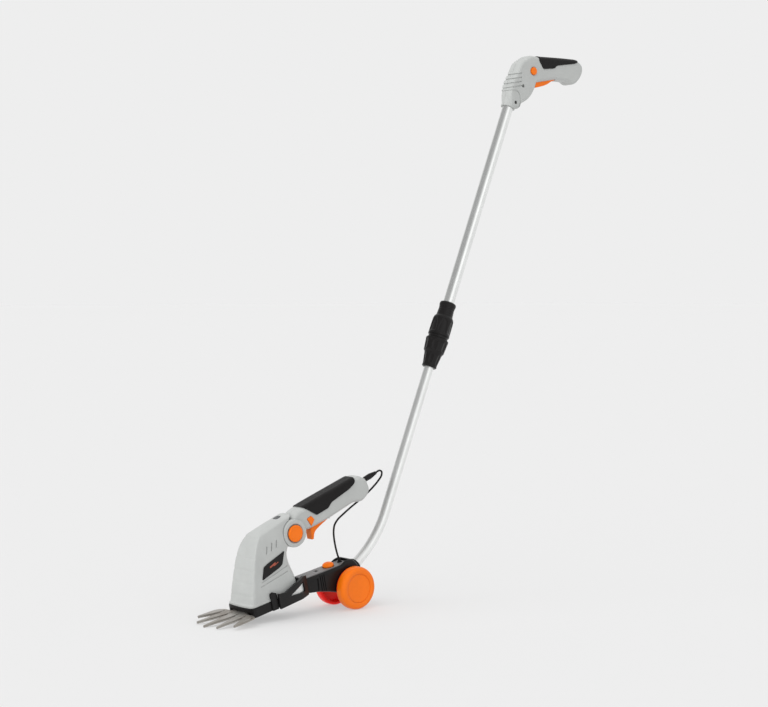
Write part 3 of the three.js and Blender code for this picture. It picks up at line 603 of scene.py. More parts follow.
def swept(route, radius, sides, wall=0):
    """A round bar along a route, without twist, or a tube when it has a wall."""
    across = Vector((1, 0, 0))
    rings, inner = [], []
    for i, here in enumerate(route):
        ahead = (route[min(i + 1, len(route) - 1)] - route[max(i - 1, 0)]).normalized()
        across = (across - ahead * across.dot(ahead)).normalized()
        other = ahead.cross(across)
        turns = [2 * math.pi * k / sides for k in range(sides)]
        around = [across * math.cos(t) + other * math.sin(t) for t in turns]
        rings.append([here + p * radius for p in around])
        inner.append([here + p * (radius - wall) for p in around])
    if not wall:
        return stacked(rings)
    skins = rings + inner[::-1]
    faces = []
    for k in range(len(skins)):
        this, after = k * sides, (k + 1) % len(skins) * sides
        for i in range(sides):
            beside = (i + 1) % sides
            faces.append((this + i, this + beside, after + beside, after + i))
    return mesh_object([p for ring in skins for p in ring], faces)


def smooth_route(corners, steps):
    """A centripetal Catmull-Rom curve through the corners, at equal steps of its parameter."""
    points = [Vector(c) for c in corners]
    points = [2 * points[0] - points[1], *points, 2 * points[-1] - points[-2]]
    spans = len(points) - 3
    route = []
    for k in range(steps + 1):
        whole = k / steps * spans
        i = min(int(whole), spans - 1)
        p = points[i : i + 4]
        before, here, after = [math.sqrt((p[j + 1] - p[j]).length) for j in range(3)]
        step = p[2] - p[1]
        first = ((p[1] - p[0]) / before - (p[2] - p[0]) / (before + here)) * here + step
        last = ((p[3] - p[2]) / after - (p[3] - p[1]) / (here + after)) * here + step
        t = whole - i
        bend = (3 * step - 2 * first - last) * t**2 + (first + last - 2 * step) * t**3
        route.append(p[1] + first * t + bend)
    return route


def piece(name, obj, place, body, slot, nodes, look=None, sharp=32, bevel=0):
    """A finished piece: moved into the row frame, given its material and shading, tied to its body."""
    obj.name = name
    obj.data.name = name
    obj.data.transform(place)
    obj.data.materials.clear()
    obj.data.materials.append(look or LOOKS[slot])
    obj.data.shade_smooth()
    obj.data.set_sharp_from_angle(angle=math.radians(sharp))
    if bevel:
        rounding = obj.modifiers.new("edges", "BEVEL")
        rounding.width = bevel * 0.001
        rounding.segments = 3
        rounding.limit_method = "ANGLE"
        rounding.angle_limit = math.radians(38)
        rounding.harden_normals = True
    normals = obj.modifiers.new("normals", "WEIGHTED_NORMAL")
    normals.keep_sharp = True
    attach(obj, body)
    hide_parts(*nodes)
    return obj


def both_sides(name, half, place, body, slot, node, left_cuts=(), **finish):
    """A left half and its mirror image. left_cuts are taken from the left half only."""
    twin = mirrored(copied(half))
    if left_cuts:
        half = cut(half, *left_cuts)
    piece(name + "_left", half, place, body, slot, [node + "_left"], **finish)
    piece(name + "_right", twin, place, body, slot, [node + "_right"], **finish)


# ---------------------------------------------------------------- lead
LEAD_ROUTE = [
    (0, -11.8, 80.6), (0, -14.9, 88.4), (0, -18.6, 99.4), (0, -22, 113.4), (-0.8, -23.2, 128.4),
    (-3, -19.5, 140.4), (-5.5, -10, 149.4), (-8, 2, 155.9), (-9.8, 14, 162.4), (-10.4, 26, 169.2),
    (-10.5, 38, 176), (-10.3, 49.5, 183.2), (-9.6, 61, 191.2), (-8, 71.5, 200.4),
    (-5.5, 79.2, 209.6), (-3.2, 83.3, 217.2), (-1.2, 82.2, 224.4), (-0.2, 75.8, 226.8),
    (0, 68.6, 224),
]
LEAD_RADIUS = 1.65
LEAD_STEPS = 144
PLUG_HEIGHT = 9
PLUG_BARREL = [
    (0, 162), (2.2, 162), (2.7, 162.6), (2.7, 168), (2.35, 168.4), (2.35, 169.4), (2.7, 169.8),
    (2.7, 179.9), (0, 179.9),
]


def make_plug():
    """The plug's ribbed overmould and its barrel, along the handle's axis."""
    profile = [(0, 180), (3.9, 180), (4.5, 180.5), (4.6, 181.5), (4.95, 191)]
    for k in range(5):
        start = 192 + 3 * k
        width = 4.95 - 0.47 * k
        rib = ((0, 0), (0.1, 1.9), (0.75, 2.1), (0.8, 2.8))
        profile += [(width - inset, start + along) for inset, along in rib]
    profile += [(2.3, 207), (1.7, 207.4), (0, 207.4)]
    body = moved(lathe(profile, 40, "Y"), z=PLUG_HEIGHT)
    pin = moved(lathe(PLUG_BARREL, 32, "Y"), z=PLUG_HEIGHT)
    return (
        piece("plug_overmould", body, HANDLE, "shear_handle", "black_plastic", ["plug_body"]),
        piece("plug_pin", pin, HANDLE, "shear_handle", "steel", ["plug_barrel"]),
    )


def make_lead():
    route = smooth_route(LEAD_ROUTE, LEAD_STEPS)
    lead = swept(route, LEAD_RADIUS, 16)
    lead.name = "charging_lead"
    lead.data.transform(WORLD)
    lead.data.materials.append(LOOKS["black_plastic"])
    lead.data.shade_smooth()
    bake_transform(lead)
    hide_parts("lead")
    make_plug()


make_lead()

# ---------------------------------------------------------------- shear head
SEAM = 0.15
WALL = 2.2
HUB = (102, 102)
TONGUE = 12
# Round the hub: the room that the handle's front end sweeps as it tilts.
NECK_ROOM = [(-2, 0), (-4.7, 25), (7.7, 37.6), (48, 60), (48, -14)]
# Front y and z, rear y and z, half width at the front and at the rear.
HEAD_RINGS = [
    (-13, 11, 89, 11, 33.5, 24), (-6, 34, 87, 34, 32.5, 24), (3.2, 63, 80, 63, 29.5, 23),
    (9.8, 81, 83, 81, 27.5, 22), (17.3, 97.5, 101, 99, 24.8, 19.3), (24, 107.5, 107, 114, 22, 17),
    (30.5, 114.2, 107, 131.5, 19, 15),
]
CROWN = [(0.5, 1.1), (1.6, 2.2), (3.5, 3.3), (6.5, 4.4), (9.5, 5.1), (12, 5.5)]  # inset and rise
# Height and bulge of the rolled lip at the bottom.
HEAD_LIP = [(11, 0.1), (11.2, 0.6), (11.8, 0.9), (14.2, 0.9), (14.8, 0.6), (15.1, 0)]
LIP_TOP = 16
SIDE_STROKES = [((12, 39.6), (72.4, 47.3), 1.9), ((15.5, 45.8), (74, 56), 1.7)]  # ends and width
SIDE_SLOTS = [
    ((41, 98.4), (36.6, 86.8), 2.2),
    ((52.2, 101.3), (47.4, 88.4), 2.2),
    ((62.9, 102.9), (58.4, 91.3), 2.2),
]
MARK_STROKES = [((37, 64.6), (50, 68.6), 2.6), ((45, 64.6), (56, 68.2), 1.4)]
LABEL_CORNERS = [
    (17.2, 49, 2), (25, 68.5, 2), (32.5, 71.5, 2), (73, 81.5, 2), (64, 62, 2), (57, 58.5, 2),
]
LENS_HALF = 6.5
HEAD_SEAM = 0.04
LENS_LIFT = 0.4
FRONT_BANDS = [29, 48, 67, 86]  # heights of the faint steps across the nose
SIDE_POINTS = 7


def head_level(s):
    """The head's ring values at s, from 0 at the bottom ring to the last ring's number."""
    i = min(int(s), len(HEAD_RINGS) - 2)
    t = s - i
    known = [HEAD_RINGS[max(0, min(len(HEAD_RINGS) - 1, k))] for k in range(i - 1, i + 3)]
    values = []
    for a, b, c, d in zip(*known):
        bend = t * (2 * a - 5 * b + 4 * c - d + t * (3 * (b - c) + d - a))
        values.append(b + 0.5 * t * (c - a + bend))
    return values


def head_ring(values, inset=0.0, rise=0.0, nose=0.0):
    """One level of the head: a tapered outline with bulging sides; nose sets its front back."""
    front, front_z, rear, rear_z, wide, narrow = values
    rounding = max(3.5, 9 - front_z / 14)
    corners = [
        (wide - inset, front + inset + nose, rounding),
        (narrow - inset, rear - inset, 8),
        (-narrow + inset, rear - inset, 8),
        (-wide + inset, front + inset + nose, rounding),
    ]
    outline = rounded(corners, 7)
    dense = []
    for i, here in enumerate(outline):
        dense.append(here)
        after = outline[(i + 1) % len(outline)]
        if i % 8 == 7:
            dense += [here.lerp(after, k / SIDE_POINTS) for k in range(1, SIDE_POINTS)]
    ring = []
    middle, half = (front + rear) / 2, (rear - front) / 2
    for p in dense:
        ahead = 1 - min(1, (p.x / (wide + 0.01)) ** 2)
        beside = 1 - min(1, ((p.y - middle) / half) ** 2)
        bow = -max(0.5, 2.4 - front_z / 35) * ahead if p.y < middle else 0.6 * ahead
        x = p.x + math.copysign(0.9 * beside, p.x) * min(1, abs(p.x) / 6)
        level = front_z + (rear_z - front_z) * (p.y - front) / (rear - front)
        ring.append((x, p.y + bow * (1 - beside) ** 2, level + rise))
    return ring


def nose_steps(level):
    return sum(0.7 * math.exp(-(((level - band) / 1.5) ** 2)) for band in FRONT_BANDS)


def head_skin(inset=0.0, detailed=False, drop=0.0):
    """The head's outside, set in and lowered; detailed adds the rolled lip and the steps on the nose."""
    rings = []
    if detailed:
        front, _, rear, _, wide, narrow = head_level(0)
        for z, out in HEAD_LIP:
            rings.append(head_ring([front, z, rear, z, wide, narrow], inset - out))
    last = len(HEAD_RINGS) - 1
    steps = 90 if detailed else 18
    for k in range(steps + 1):
        values = head_level(last * k / steps)
        if detailed and values[1] < LIP_TOP:
            continue
        values[1] -= drop
        values[3] -= drop
        rings.append(head_ring(values, inset, nose=nose_steps(values[1]) if detailed else 0))
    top = head_level(last)
    for step_in, rise in CROWN:
        rings.append(head_ring(top, inset + step_in, rise - drop))
    return stacked(rings)


def stroke_corners(a, b, width, corner):
    """The four corners of a straight stroke from a to b."""
    start, end = Vector(a), Vector(b)
    across = (end - start).orthogonal().normalized() * width / 2
    points = [start + across, end + across, end - across, start - across]
    return [(p.x, p.y, corner) for p in points]


def side_grooves(depth, strokes):
    """Cutters for shallow grooves on the leaning side wall."""
    grooves = [slab(stroke_corners(*stroke, stroke[2] / 2), 10, 60, steps=3) for stroke in strokes]
    return cut(joined(*grooves), head_skin(depth))


def on_head_side(corners, low, high):
    """A thin panel between two distances outside the leaning side wall."""
    shell = cut(head_skin(-high), head_skin(-low))
    return common(shell, slab(corners, 5, 60, steps=4))


def make_head():
    y, z = HUB
    skin = head_skin(detailed=True)
    skin = cut(
        skin,
        common(head_skin(WALL, drop=WALL), box((-60, 60), (-60, 160), (9.9, 200))),
        side_grooves(0.9, SIDE_STROKES),
        side_grooves(1.6, SIDE_SLOTS),
        cross_bar(y, z, TONGUE + 0.3, 60, 24, 64),
        cross_bar(y, z, -60, -TONGUE - 0.3, 24, 64),
        slab([(y + across, z + up) for across, up in NECK_ROOM], -40, 40),
    )
    neck = box((-TONGUE, TONGUE), (74, 100), (86, 110))
    skin = joined(skin, cross_bar(y, z, -TONGUE, TONGUE, 20, 64), neck)
    skin = cut(skin, cross_bar(y, z, -40, 40, 5.3), lens_bar(0.2))
    for side, span in (("left", (-90, HEAD_SEAM)), ("right", (-HEAD_SEAM, 90))):
        half = cut(copied(skin), box(span, (-90, 200), (-90, 250)))
        piece("head_casing_" + side, half, TOOL, "root", "shell_grey", ["head_shell_" + side], sharp=30)
    bpy.data.objects.remove(skin)

    panel = on_head_side(LABEL_CORNERS, 0.3, 1.1)
    both_sides("head_label", panel, TOOL, "root", "black_plastic", "label_panel", sharp=25)
    marks = [on_head_side(stroke_corners(*stroke, 0.5), 1.15, 1.35) for stroke in MARK_STROKES]
    for side, flip in SIDES:
        for k, mark in enumerate(marks):
            twin = flip(copied(mark))
            piece(f"label_mark_{side}_{k + 1}", twin, TOOL, "root", "orange", [], look=MARK_LOOK)
    for mark in marks:
        bpy.data.objects.remove(mark)

    lens = common(lens_bar(0), head_skin(LENS_LIFT))
    piece("charge_lens", lens, TOOL, "root", "window", ["charge_window"])


def lens_bar(clearance):
    half = LENS_HALF + clearance
    return plan(rim_corners(half, half, 80 - clearance, 91 + clearance, 5), 119, 145)


make_head()

# ---------------------------------------------------------------- base, blades
GEAR_Y = 18
BLADE_REACH = 88
TOOTH_SPACING = 21.5
TOOTH_FAN = 8.2
TOOTH_FALL = 5.6
SLOT_LENGTH = 12
SLOT_WIDTH = 2.4
TOOTH_ROOT = -36
PIVOT_BORE = 3.3
LUG_CORNERS = [(25, -4.6, 1), (37, -4.6, 0.5), (37, 22, 2), (30, 25.5, 3), (25, 24, 3)]
BASE_OUTLINE = [
    (36.5, -14, 8), (26.5, 91, 8), (-26.5, 91, 8), (-36.5, -14, 8), (-16, -17, 20), (16, -17, 20),
]


def make_base():
    rim = cut(
        plan(BASE_OUTLINE, -4.6, 10.7, 1.1),
        box((-24, 24), (-9, 120), (-10, 6)),
        box((-29, 29), (-40, -8), (-10, 4.9)),
    )
    lug = slab(LUG_CORNERS, 30.2, 35.4, 0.9, rim=3)
    body = joined(rim, copied(lug), mirrored(lug))
    body = cut(body, upright(0, GEAR_Y, 0, 12, 10), upright(0, 0, 0, 12, PIVOT_BORE))
    piece("base_ring", body, TOOL, "root", "black_plastic", ["base_rim"], bevel=0.5)


def tooth_points(index, half_root, root_y):
    length = BLADE_REACH + root_y - TOOTH_FALL * index * index
    turn = math.radians(TOOTH_FAN * index)
    across = Vector((math.cos(turn), math.sin(turn)))
    ahead = Vector((math.sin(turn), -math.cos(turn)))
    half = [(half_root, 0), (half_root - 1.2, 12 - 2 * abs(index)), (1.3, length)]
    corners = [(-side, along) for side, along in half] + half[::-1]
    root = Vector((TOOTH_SPACING * index, root_y))
    return [root + across * side + ahead * along for side, along in corners]


def blade_corners(half_root, root_y, wing, rear_y):
    points = [p for index in range(-2, 3) for p in tooth_points(index, half_root, root_y)]
    rear = [(wing, rear_y - 4), (wing - 8, rear_y), (20, rear_y + 1), (17, 12), (11, 27)]
    points += [Vector(p) for p in rear] + [Vector((-x, y)) for x, y in rear[::-1]]
    return [(p.x, p.y, 0.6) for p in points]


def ground_plate(corners, z0, z1, land):
    """A blade: its upper edge ground back by land, its lower edge just broken."""
    levels = [(z0, 0.15), (z0 + 0.15, 0), (z1 - 0.75, 0), (z1, land)]
    rings = [[(p.x, p.y, z) for p in rounded(grown(corners, -inset), 3)] for z, inset in levels]
    return stacked(rings)


def root_slots(z0, z1):
    """Narrow slots that carry the gaps between the teeth on into the plate."""
    slots = []
    for index in (-1.5, -0.5, 0.5, 1.5):
        turn = math.radians(TOOTH_FAN * index)
        ahead = Vector((math.sin(turn), -math.cos(turn)))
        root = Vector((TOOTH_SPACING * index, TOOTH_ROOT))
        corners = stroke_corners(root + ahead * 4, root - ahead * SLOT_LENGTH, SLOT_WIDTH, 1)
        slots.append(plan(corners, z0, z1))
    return slots


def make_blades():
    lower = ground_plate(blade_corners(9.3, TOOTH_ROOT, 49, -17), 0, 1.8, 0.35)
    lower = cut(lower, upright(0, 0, -5, 8, PIVOT_BORE), *root_slots(-1, 3))
    piece("blade_lower", lower, TOOL, "root", "blade", ["lower_blade"], sharp=20)
    upper = ground_plate(blade_corners(8, TOOTH_ROOT + 2, 46, -21), 2.1, 3.7, 0.95)
    upper = cut(upper, upright(0, 0, -5, 8, PIVOT_BORE), upright(0, GEAR_Y, -5, 8, 6.4), *root_slots(1, 5))
    piece("blade_upper", upper, TOOL, "upper_blade", "blade", ["upper_blade"], sharp=20)
    cover = plan(rim_corners(22, 22, -17, 26, 3), -2, -0.3, 0.4)
    cover = cut(cover, upright(0, 0, -5, 5, PIVOT_BORE))
    piece("drive_cover", cover, TOOL, "root", "black_plastic", ["blade_cover"])


make_base()
make_blades()

# ---------------------------------------------------------------- shear handle
HANDLE_CORNERS = [
    (7, 24, 3), (22, 29.5, 12), (60, 29.5, 20), (150, 27.5, 12), (163, 26, 6), (175, 13, 5),
    (175.5, -6, 6), (167, -14, 5), (152, -18.5, 6), (141, -13.5, 4), (133, -11.5, 6), (80, -13, 8),
    (36, -11, 3), (20, -8, 2), (4, 0, 0),
]
HANDLE_WIDTH = 16.5
SHEAR_PIVOT = (79, -12)
PIN_BORE = 1.5
GRIP_REGION = [
    (29, 36, 0), (54, 6.5, 2), (80, 6.5, 3), (90, 12.5, 3), (131, 16, 3), (146, 20, 5),
    (152, 30, 4), (153, 36, 0),
]
CHEEK = [
    (0, SEAM),
    (23, SEAM),
    (23, 20.2), (22.6, 21.4), (21.6, 22), (17, 22), (16.2, 21.6), (15.6, 20.8), (15.3, 18),
    (0, 18),
]
HUB_BUTTON = [
    (0, 20.8), (13.6, 20.8), (14, 21.2), (14, 23), (13.6, 23.9), (12.4, 24.5), (11.5, 24.5),
    (11.1, 24.1), (0, 24.35),
]
TONGUE_ROOM = [(-40, -40), (14, -40), (9, -19), (4, 0), (6, 21), (5, 40), (-40, 40)]
SHEAR_TRIGGER = [
    (81, -10, 1.5), (79, -14.5, 1.5), (60, -18, 6), (46, -22, 6), (40, -33, 2), (36.5, -32, 1),
    (39, -18, 4), (40, -12.5, 1), (60, -9, 2), (76, -9.2, 1),
]


def grip_skin(line, width, rims, rise, region):
    """A soft skin over a handle whose own rims are given, from 0.3 above it to rise, inside a region."""
    edge, depth = rims
    skin = cut(
        slab(grown(line, rise), -width - rise, width + rise, edge + 1, depth + 1),
        slab(grown(line, 0.3), -width - 0.3, width + 0.3, edge + 0.2, depth + 0.2),
    )
    return common(skin, slab(region, -40, 40))


def lock_corners(clearance):
    return grown([(33.5, 9, 1), (43, 10, 1), (47, 2, 1), (37.5, -5.5, 1)], clearance)


def make_shear_handle():
    line = HANDLE_CORNERS
    outer = slab(line, SEAM, HANDLE_WIDTH, 7, 9, start=0.3)
    casing = joined(outer, lathe(CHEEK, 96, "X"))
    hollow = slab(grown(line, -WALL), -5, HANDLE_WIDTH - WALL, 5, rim=4)
    casing = cut(
        casing,
        common(hollow, box((-40, 40), (28, 173), (-40, 40))),
        cross_bar(0, 0, -5, TONGUE + 0.3, 21.5, 64),
        slab(TONGUE_ROOM, -5, TONGUE + 0.3),
        cross_bar(0, 0, -5, 40, 5.4),
        cross_bar(0, 0, 18, 40, 15.2, 96),
        box((-8.1, 8.1), (34, 82), (-30, -5)),
        slab(lock_corners(0.4), -5, 40),
        bar((0, 160, PLUG_HEIGHT), (0, 190, PLUG_HEIGHT), 5.4),
        cross_bar(*SHEAR_PIVOT, -5, 12.8, PIN_BORE),
    )
    both_sides("handle_casing", casing, HANDLE, "shear_handle", "shell_grey", "handle_shell", sharp=35)

    grip = grip_skin(line, HANDLE_WIDTH, (7, 9), 1.5, GRIP_REGION)
    piece("grip_overlay", grip, HANDLE, "shear_handle", "grip_rubber", ["handle_grip"], bevel=0.5)

    for side, flip in SIDES:
        name = "pivot_button_" + side
        piece("hub_" + name, flip(lathe(HUB_BUTTON, 96, "X")), HANDLE, name, "orange", [name])
    lock = slab(lock_corners(0), -18.5, 18.5, 1.1, rim=4)
    piece("lock_slide", lock, HANDLE, "shear_lock_button", "orange", ["shear_lock_button"])
    trigger = slab(SHEAR_TRIGGER, -7.5, 7.5, 1.3, rim=4)
    trigger = cut(trigger, cross_bar(*SHEAR_PIVOT, -20, 20, PIN_BORE))
    piece("shear_finger_lever", trigger, HANDLE, "shear_trigger", "orange", ["shear_trigger"])


make_shear_handle()

# ---------------------------------------------------------------- cart
CART_WIDTH = 19
CART_TOP = 18.5
CART_CORNERS = [
    (109, 18.5, 1), (187, 20, 3), (200, 25.5, 7), (214, 24, 9), (224, 8, 14), (222, -10, 14),
    (213, -27, 12), (197, -32, 14), (178, -26, 14), (156, -17, 6), (134, -10, 8), (109, -5, 1),
]
WHEEL_RADIUS = 36
BUTTON_Y = 172
GLAND_Y = 197
LOWER_TUBE = 8.5
SOCKET_RADIUS = 11.5
BEND_RADIUS = 190
BEND_TURN = 30
POLE_START = (89.3, 155)
FOOT = 33
LOWER_TUBE_END = 440
SIDE_PANEL = [(113.5, -3.5, 1.5), (133, -7.5, 1.5), (134.5, 14.5, 1.5), (113.5, 14.5, 1.5)]
SIDE_FINS = (138, 142, 146)
CART_DOME = [
    (0, -6), (8, -6), (8, 1), (9.7, 1), (9.9, 1.3), (9.9, 2.6), (9.5, 3.8), (8.6, 5), (7, 6.2),
    (5, 7), (2.5, 7.5), (0, 7.6),
]
LEAD_GLAND = [
    (1.75, 12), (3, 12), (3, 21.1), (4, 21.1), (4.2, 21.3), (4.2, 22.2), (3.9, 22.4), (3.1, 22.5),
    (3.05, 23.6), (2.5, 23.9), (2.45, 24.7), (2.9, 25), (2.8, 26), (2.3, 26.3), (2.3, 27),
    (2.6, 27.3), (2.5, 28.2), (2.1, 28.6), (1.75, 28.6),
]


def side_vector(length, angle):
    return Vector((0, length * math.cos(angle), length * math.sin(angle)))


def lower_route(steps):
    """The lower tube's centre line in the world group's frame."""
    lean, turn = math.radians(LEAN), math.radians(BEND_TURN)
    start = Vector((0, *POLE_START))
    centre = start - side_vector(BEND_RADIUS, -lean)
    bend = [centre + side_vector(BEND_RADIUS, -lean - turn * k / steps) for k in range(steps, -1, -1)]
    foot = bend[0] - side_vector(FOOT, math.pi / 2 - lean - turn)
    return [foot, *bend, start + side_vector(LOWER_TUBE_END, math.pi / 2 - lean)]


def to_tool(point):
    return TOOL.inverted() @ (WORLD @ point)


def foot_place(distance):
    """A place along the pole's straight foot in the tool's frame; 0 is the tube's end."""
    foot, bend = lower_route(8)[:2]
    return to_tool(foot + (bend - foot).normalized() * distance)


def make_cart():
    line = CART_CORNERS
    outer = slab(line, SEAM, CART_WIDTH, 4.5, 6, start=0.3)
    axle = to_tool(Vector((0, 0, WHEEL_RADIUS)))
    fins = [box((CART_WIDTH - 1.5, 40), (y, y + 1.6), (-40, 60)) for y in SIDE_FINS]
    casing = cut(
        outer,
        slab(grown(line, -WALL), -5, CART_WIDTH - WALL - 1.4, 1, rim=2),
        box((-5, 13.8), (104, 206.3), (CART_TOP, 60)),
        bar((-5, axle.y, axle.z), (60, axle.y, axle.z), 4.3),
        bar(foot_place(4), foot_place(60), SOCKET_RADIUS + 0.3),
        upright(0, BUTTON_Y, 0, 60, 8.5),
        upright(0, GLAND_Y, 8, 60, 3.6),
        slab(SIDE_PANEL, CART_WIDTH - 1.6, 40),
        *fins,
    )
    both_sides("cart_casing", casing, TOOL, "root", "black_plastic", "cart_shell", sharp=35)

    cover = plan(rim_corners(13.5, 13.5, 109, 206, 1.5), CART_TOP + 0.3, 20.8, 0.6)
    cover = cut(
        cover,
        upright(0, BUTTON_Y, 0, 60, 10.4, 64),
        upright(0, GLAND_Y, 0, 60, 3.4),
        plan(rim_corners(4, 4, 142.5, 148.5, 1.5), 10, 30),
    )
    piece("cart_cover_plate", cover, TOOL, "root", "plate_grey", ["cart_top_plate"])

    dome = moved(lathe(CART_DOME, 64), y=BUTTON_Y, z=20.8)
    piece("cart_release_button", dome, TOOL, "cart_button", "orange", ["cart_button"])
    gland = moved(lathe(LEAD_GLAND, 40), y=GLAND_Y)
    piece("lead_relief", gland, TOOL, "root", "black_plastic", ["lead_gland"])
    socket = cut(
        bar(foot_place(5), foot_place(25), SOCKET_RADIUS, SOCKET_RADIUS - 0.8, 64),
        bar(foot_place(0), foot_place(40), LOWER_TUBE + 0.3, sides=64),
    )
    piece("pole_foot_collar", socket, TOOL, "root", "black_plastic", ["pole_socket"], bevel=0.5)


FORK_SIDE = [
    (37.5, -5, 1), (108.6, -5, 1), (108.6, 28, 1), (100, 30, 2), (88, 27.5, 6), (55, 17.8, 4),
    (42, 19.5, 2), (37.5, 21, 1),
]
FORK_OPENING = [(62, 8.5, 1), (99.5, 4.5, 1.5), (98, 22, 1.5)]
FORK_ARM = [(39.5, 37.5), (32.3, 88), (22.5, 108.6), (17, 108.6), (27.8, 86), (35.8, 37.5)]
FORK_LIGHT_PANEL = [(36.9, 37.5), (28.9, 86), (18.1, 108.6), (17.2, 108.6), (28, 86), (36, 37.5)]


def make_fork():
    arm = cut(slab(FORK_SIDE, 0, 45), slab(FORK_OPENING, -5, 60))
    arm = common(arm, plan(FORK_ARM, -10, 40))
    collar = box((-20.5, 20.5), (100, 108.6), (-5, 4))
    body = joined(copied(arm), mirrored(arm), collar)
    piece("dock_fork", body, TOOL, "root", "black_plastic", ["docking_fork"], bevel=0.9)
    # Painted light: a pale panel closes each arm's opening from the inside, so that the opening reads bright where
    # light shows through it.
    light_panel = common(plan(FORK_LIGHT_PANEL, -10, 40), slab(grown(FORK_OPENING, 0.5), -5, 60))
    for side, panel in (("left", copied(light_panel)), ("right", mirrored(light_panel))):
        piece("fork_painted_light_" + side, panel, TOOL, "root", "shell_grey", [], look=PAINTED_LIGHT_LOOK)


TYRE = [
    (4.3, 1), (9, 1), (9, 13), (29.6, 12.2), (30.2, 11.4), (30.8, 1.2), (31.4, 0.2), (32.4, 0),
    (34, 0.5), (35.2, 1.8), (35.9, 3.6), (36, 6), (36, 12.4), (35.6, 14.6), (34.6, 16.8),
    (33.2, 18.6), (31.4, 19.7), (29.4, 20), (27.4, 19.9), (25.4, 19.4), (24.2, 18.8), (24, 17),
    (4.3, 17),
]
WHEEL_DISC = [(0, 17.3), (23.6, 17.3), (23.6, 18.3), (22.4, 17.95), (19, 17.75), (10, 17.65), (0, 17.65)]
WHEEL_PLACE = 20.6


def make_wheels():
    for side, flip in SIDES:
        tyre = flip(moved(lathe(TYRE, 128, "X"), x=WHEEL_PLACE, z=WHEEL_RADIUS))
        disc = flip(moved(lathe(WHEEL_DISC, 96, "X"), x=WHEEL_PLACE, z=WHEEL_RADIUS))
        name = "wheel_" + side
        piece("wheel_body_" + side, tyre, WORLD, name, "orange", [name], look=WHEEL_LOOKS[side], sharp=40)
        piece("wheel_disc_" + side, disc, WORLD, name, "orange", ["wheel_cap_" + side])


make_cart()
make_fork()
make_wheels()

# ---------------------------------------------------------------- pole
UPPER_TUBE = 10
UPPER_TUBE_SPAN = (296, 802.5)
TUBE_WALL = 1.1
NUT_START = 266
NUT_END = 319
SLEEVE_END = 388
BEND_STEPS = 28


def fluted(levels, sides, flutes, inner, facet):
    """A turned body with facets sunk into its outside; inner is the outline of its bore."""
    rings = []
    for radius, z in levels:
        ring = []
        for k in range(sides):
            turn = 2 * math.pi * k / sides
            r = radius - facet(turn * flutes, z)
            ring.append((r * math.cos(turn), r * math.sin(turn), z))
        rings.append(ring)
    body = stacked(rings)
    return cut(body, lathe(inner, 64))


def arch(turn, z, low, high, depth):
    """Depth of one arched facet: level in its middle, ending in a round arch at the top."""
    across = (turn / math.pi) % 2 - 1
    level = (z - low) / (high - low)
    if not 0 < level < 1:
        return 0
    width = 0.86 * math.sqrt(max(0, 1 - level**3))
    if abs(across) >= width:
        return 0
    return depth * min(1, (width - abs(across)) * 6) * min(1, level * 8)


def between(stations, step):
    """(radius, height) stations with more levels put in between."""
    levels = []
    for (r0, z0), (r1, z1) in zip(stations, stations[1:]):
        count = max(1, round(abs(z1 - z0) / step))
        levels += [(r0 + (r1 - r0) * k / count, z0 + (z1 - z0) * k / count) for k in range(count)]
    return levels + [stations[-1]]


def make_clamp():
    sleeve = [
        (16.8, NUT_END + 0.4),
        (17.5, NUT_END + 1),
        (17.5, NUT_END + 5.8),
        (18.9, NUT_END + 6.2),
        (19.3, NUT_END + 7.2),
        (18.9, 346), (18.5, 355), (17.6, 358.5), (15.4, 361.5), (14.7, 363.5), (14.5, 366),
        (14.1, 366.4), (14.1, 367.2), (14.4, 367.6), (14.2, 370), (13.8, 370.4), (13.8, 371.2),
        (14.1, 371.6), (13.9, 374), (13.5, 374.4), (13.5, 375.2), (13.9, 375.6), (14, 379),
        (14.7, 381.5), (14.9, 383.6), (14.6, 385.6), (13.8, 387.2),
        (12.2, SLEEVE_END),
    ]
    bore = [(0, NUT_END - 5), (10.3, NUT_END - 5), (10.3, SLEEVE_END + 5), (0, SLEEVE_END + 5)]

    def sleeve_facet(turn, z):
        return arch(turn, z, 329, 356, 1.6)

    body = fluted(between(sleeve, 1.2), 144, 6, bore, sleeve_facet)
    piece("clamp_upper", body, POLE, "pole_upper", "black_plastic", ["clamp_sleeve"], sharp=50)

    nut = [
        (11.6, NUT_START),
        (12.4, NUT_START + 0.5),
        (13.2, NUT_START + 1.6),
        (13.2, NUT_START + 3),
        (12.7, NUT_START + 3.5),
        (13.6, NUT_START + 10),
        (15.8, NUT_START + 24.5),
        (16.2, NUT_START + 26.5),
        (17.6, NUT_START + 28.5),
        (18.5, NUT_START + 30),
        (19.9, NUT_START + 45),
        (20.3, NUT_START + 48),
        (20.4, NUT_START + 51),
        (20, NUT_START + 52.6),
        (19.4, NUT_END),
    ]
    hollow = [(0, 255), (9.4, 255), (9.4, 284), (14.3, 291), (14.3, 330), (0, 330)]

    def nut_facet(turn, z):
        level = z - NUT_START
        narrow = max(0, min(1, (level - 5) / 3, (25 - level) / 3))
        wide = max(0, min(1, (level - 30) / 2, (49 - level) / 2))
        across = (turn / math.pi) % 2 - 1
        return (1.1 * narrow + 1.4 * wide) * (1 - across * across)

    body = fluted(between(nut, 1.2), 180, 12, hollow, nut_facet)
    piece("clamp_grip_nut", body, POLE, "clamp_nut", "black_plastic", ["clamp_nut"], sharp=50)


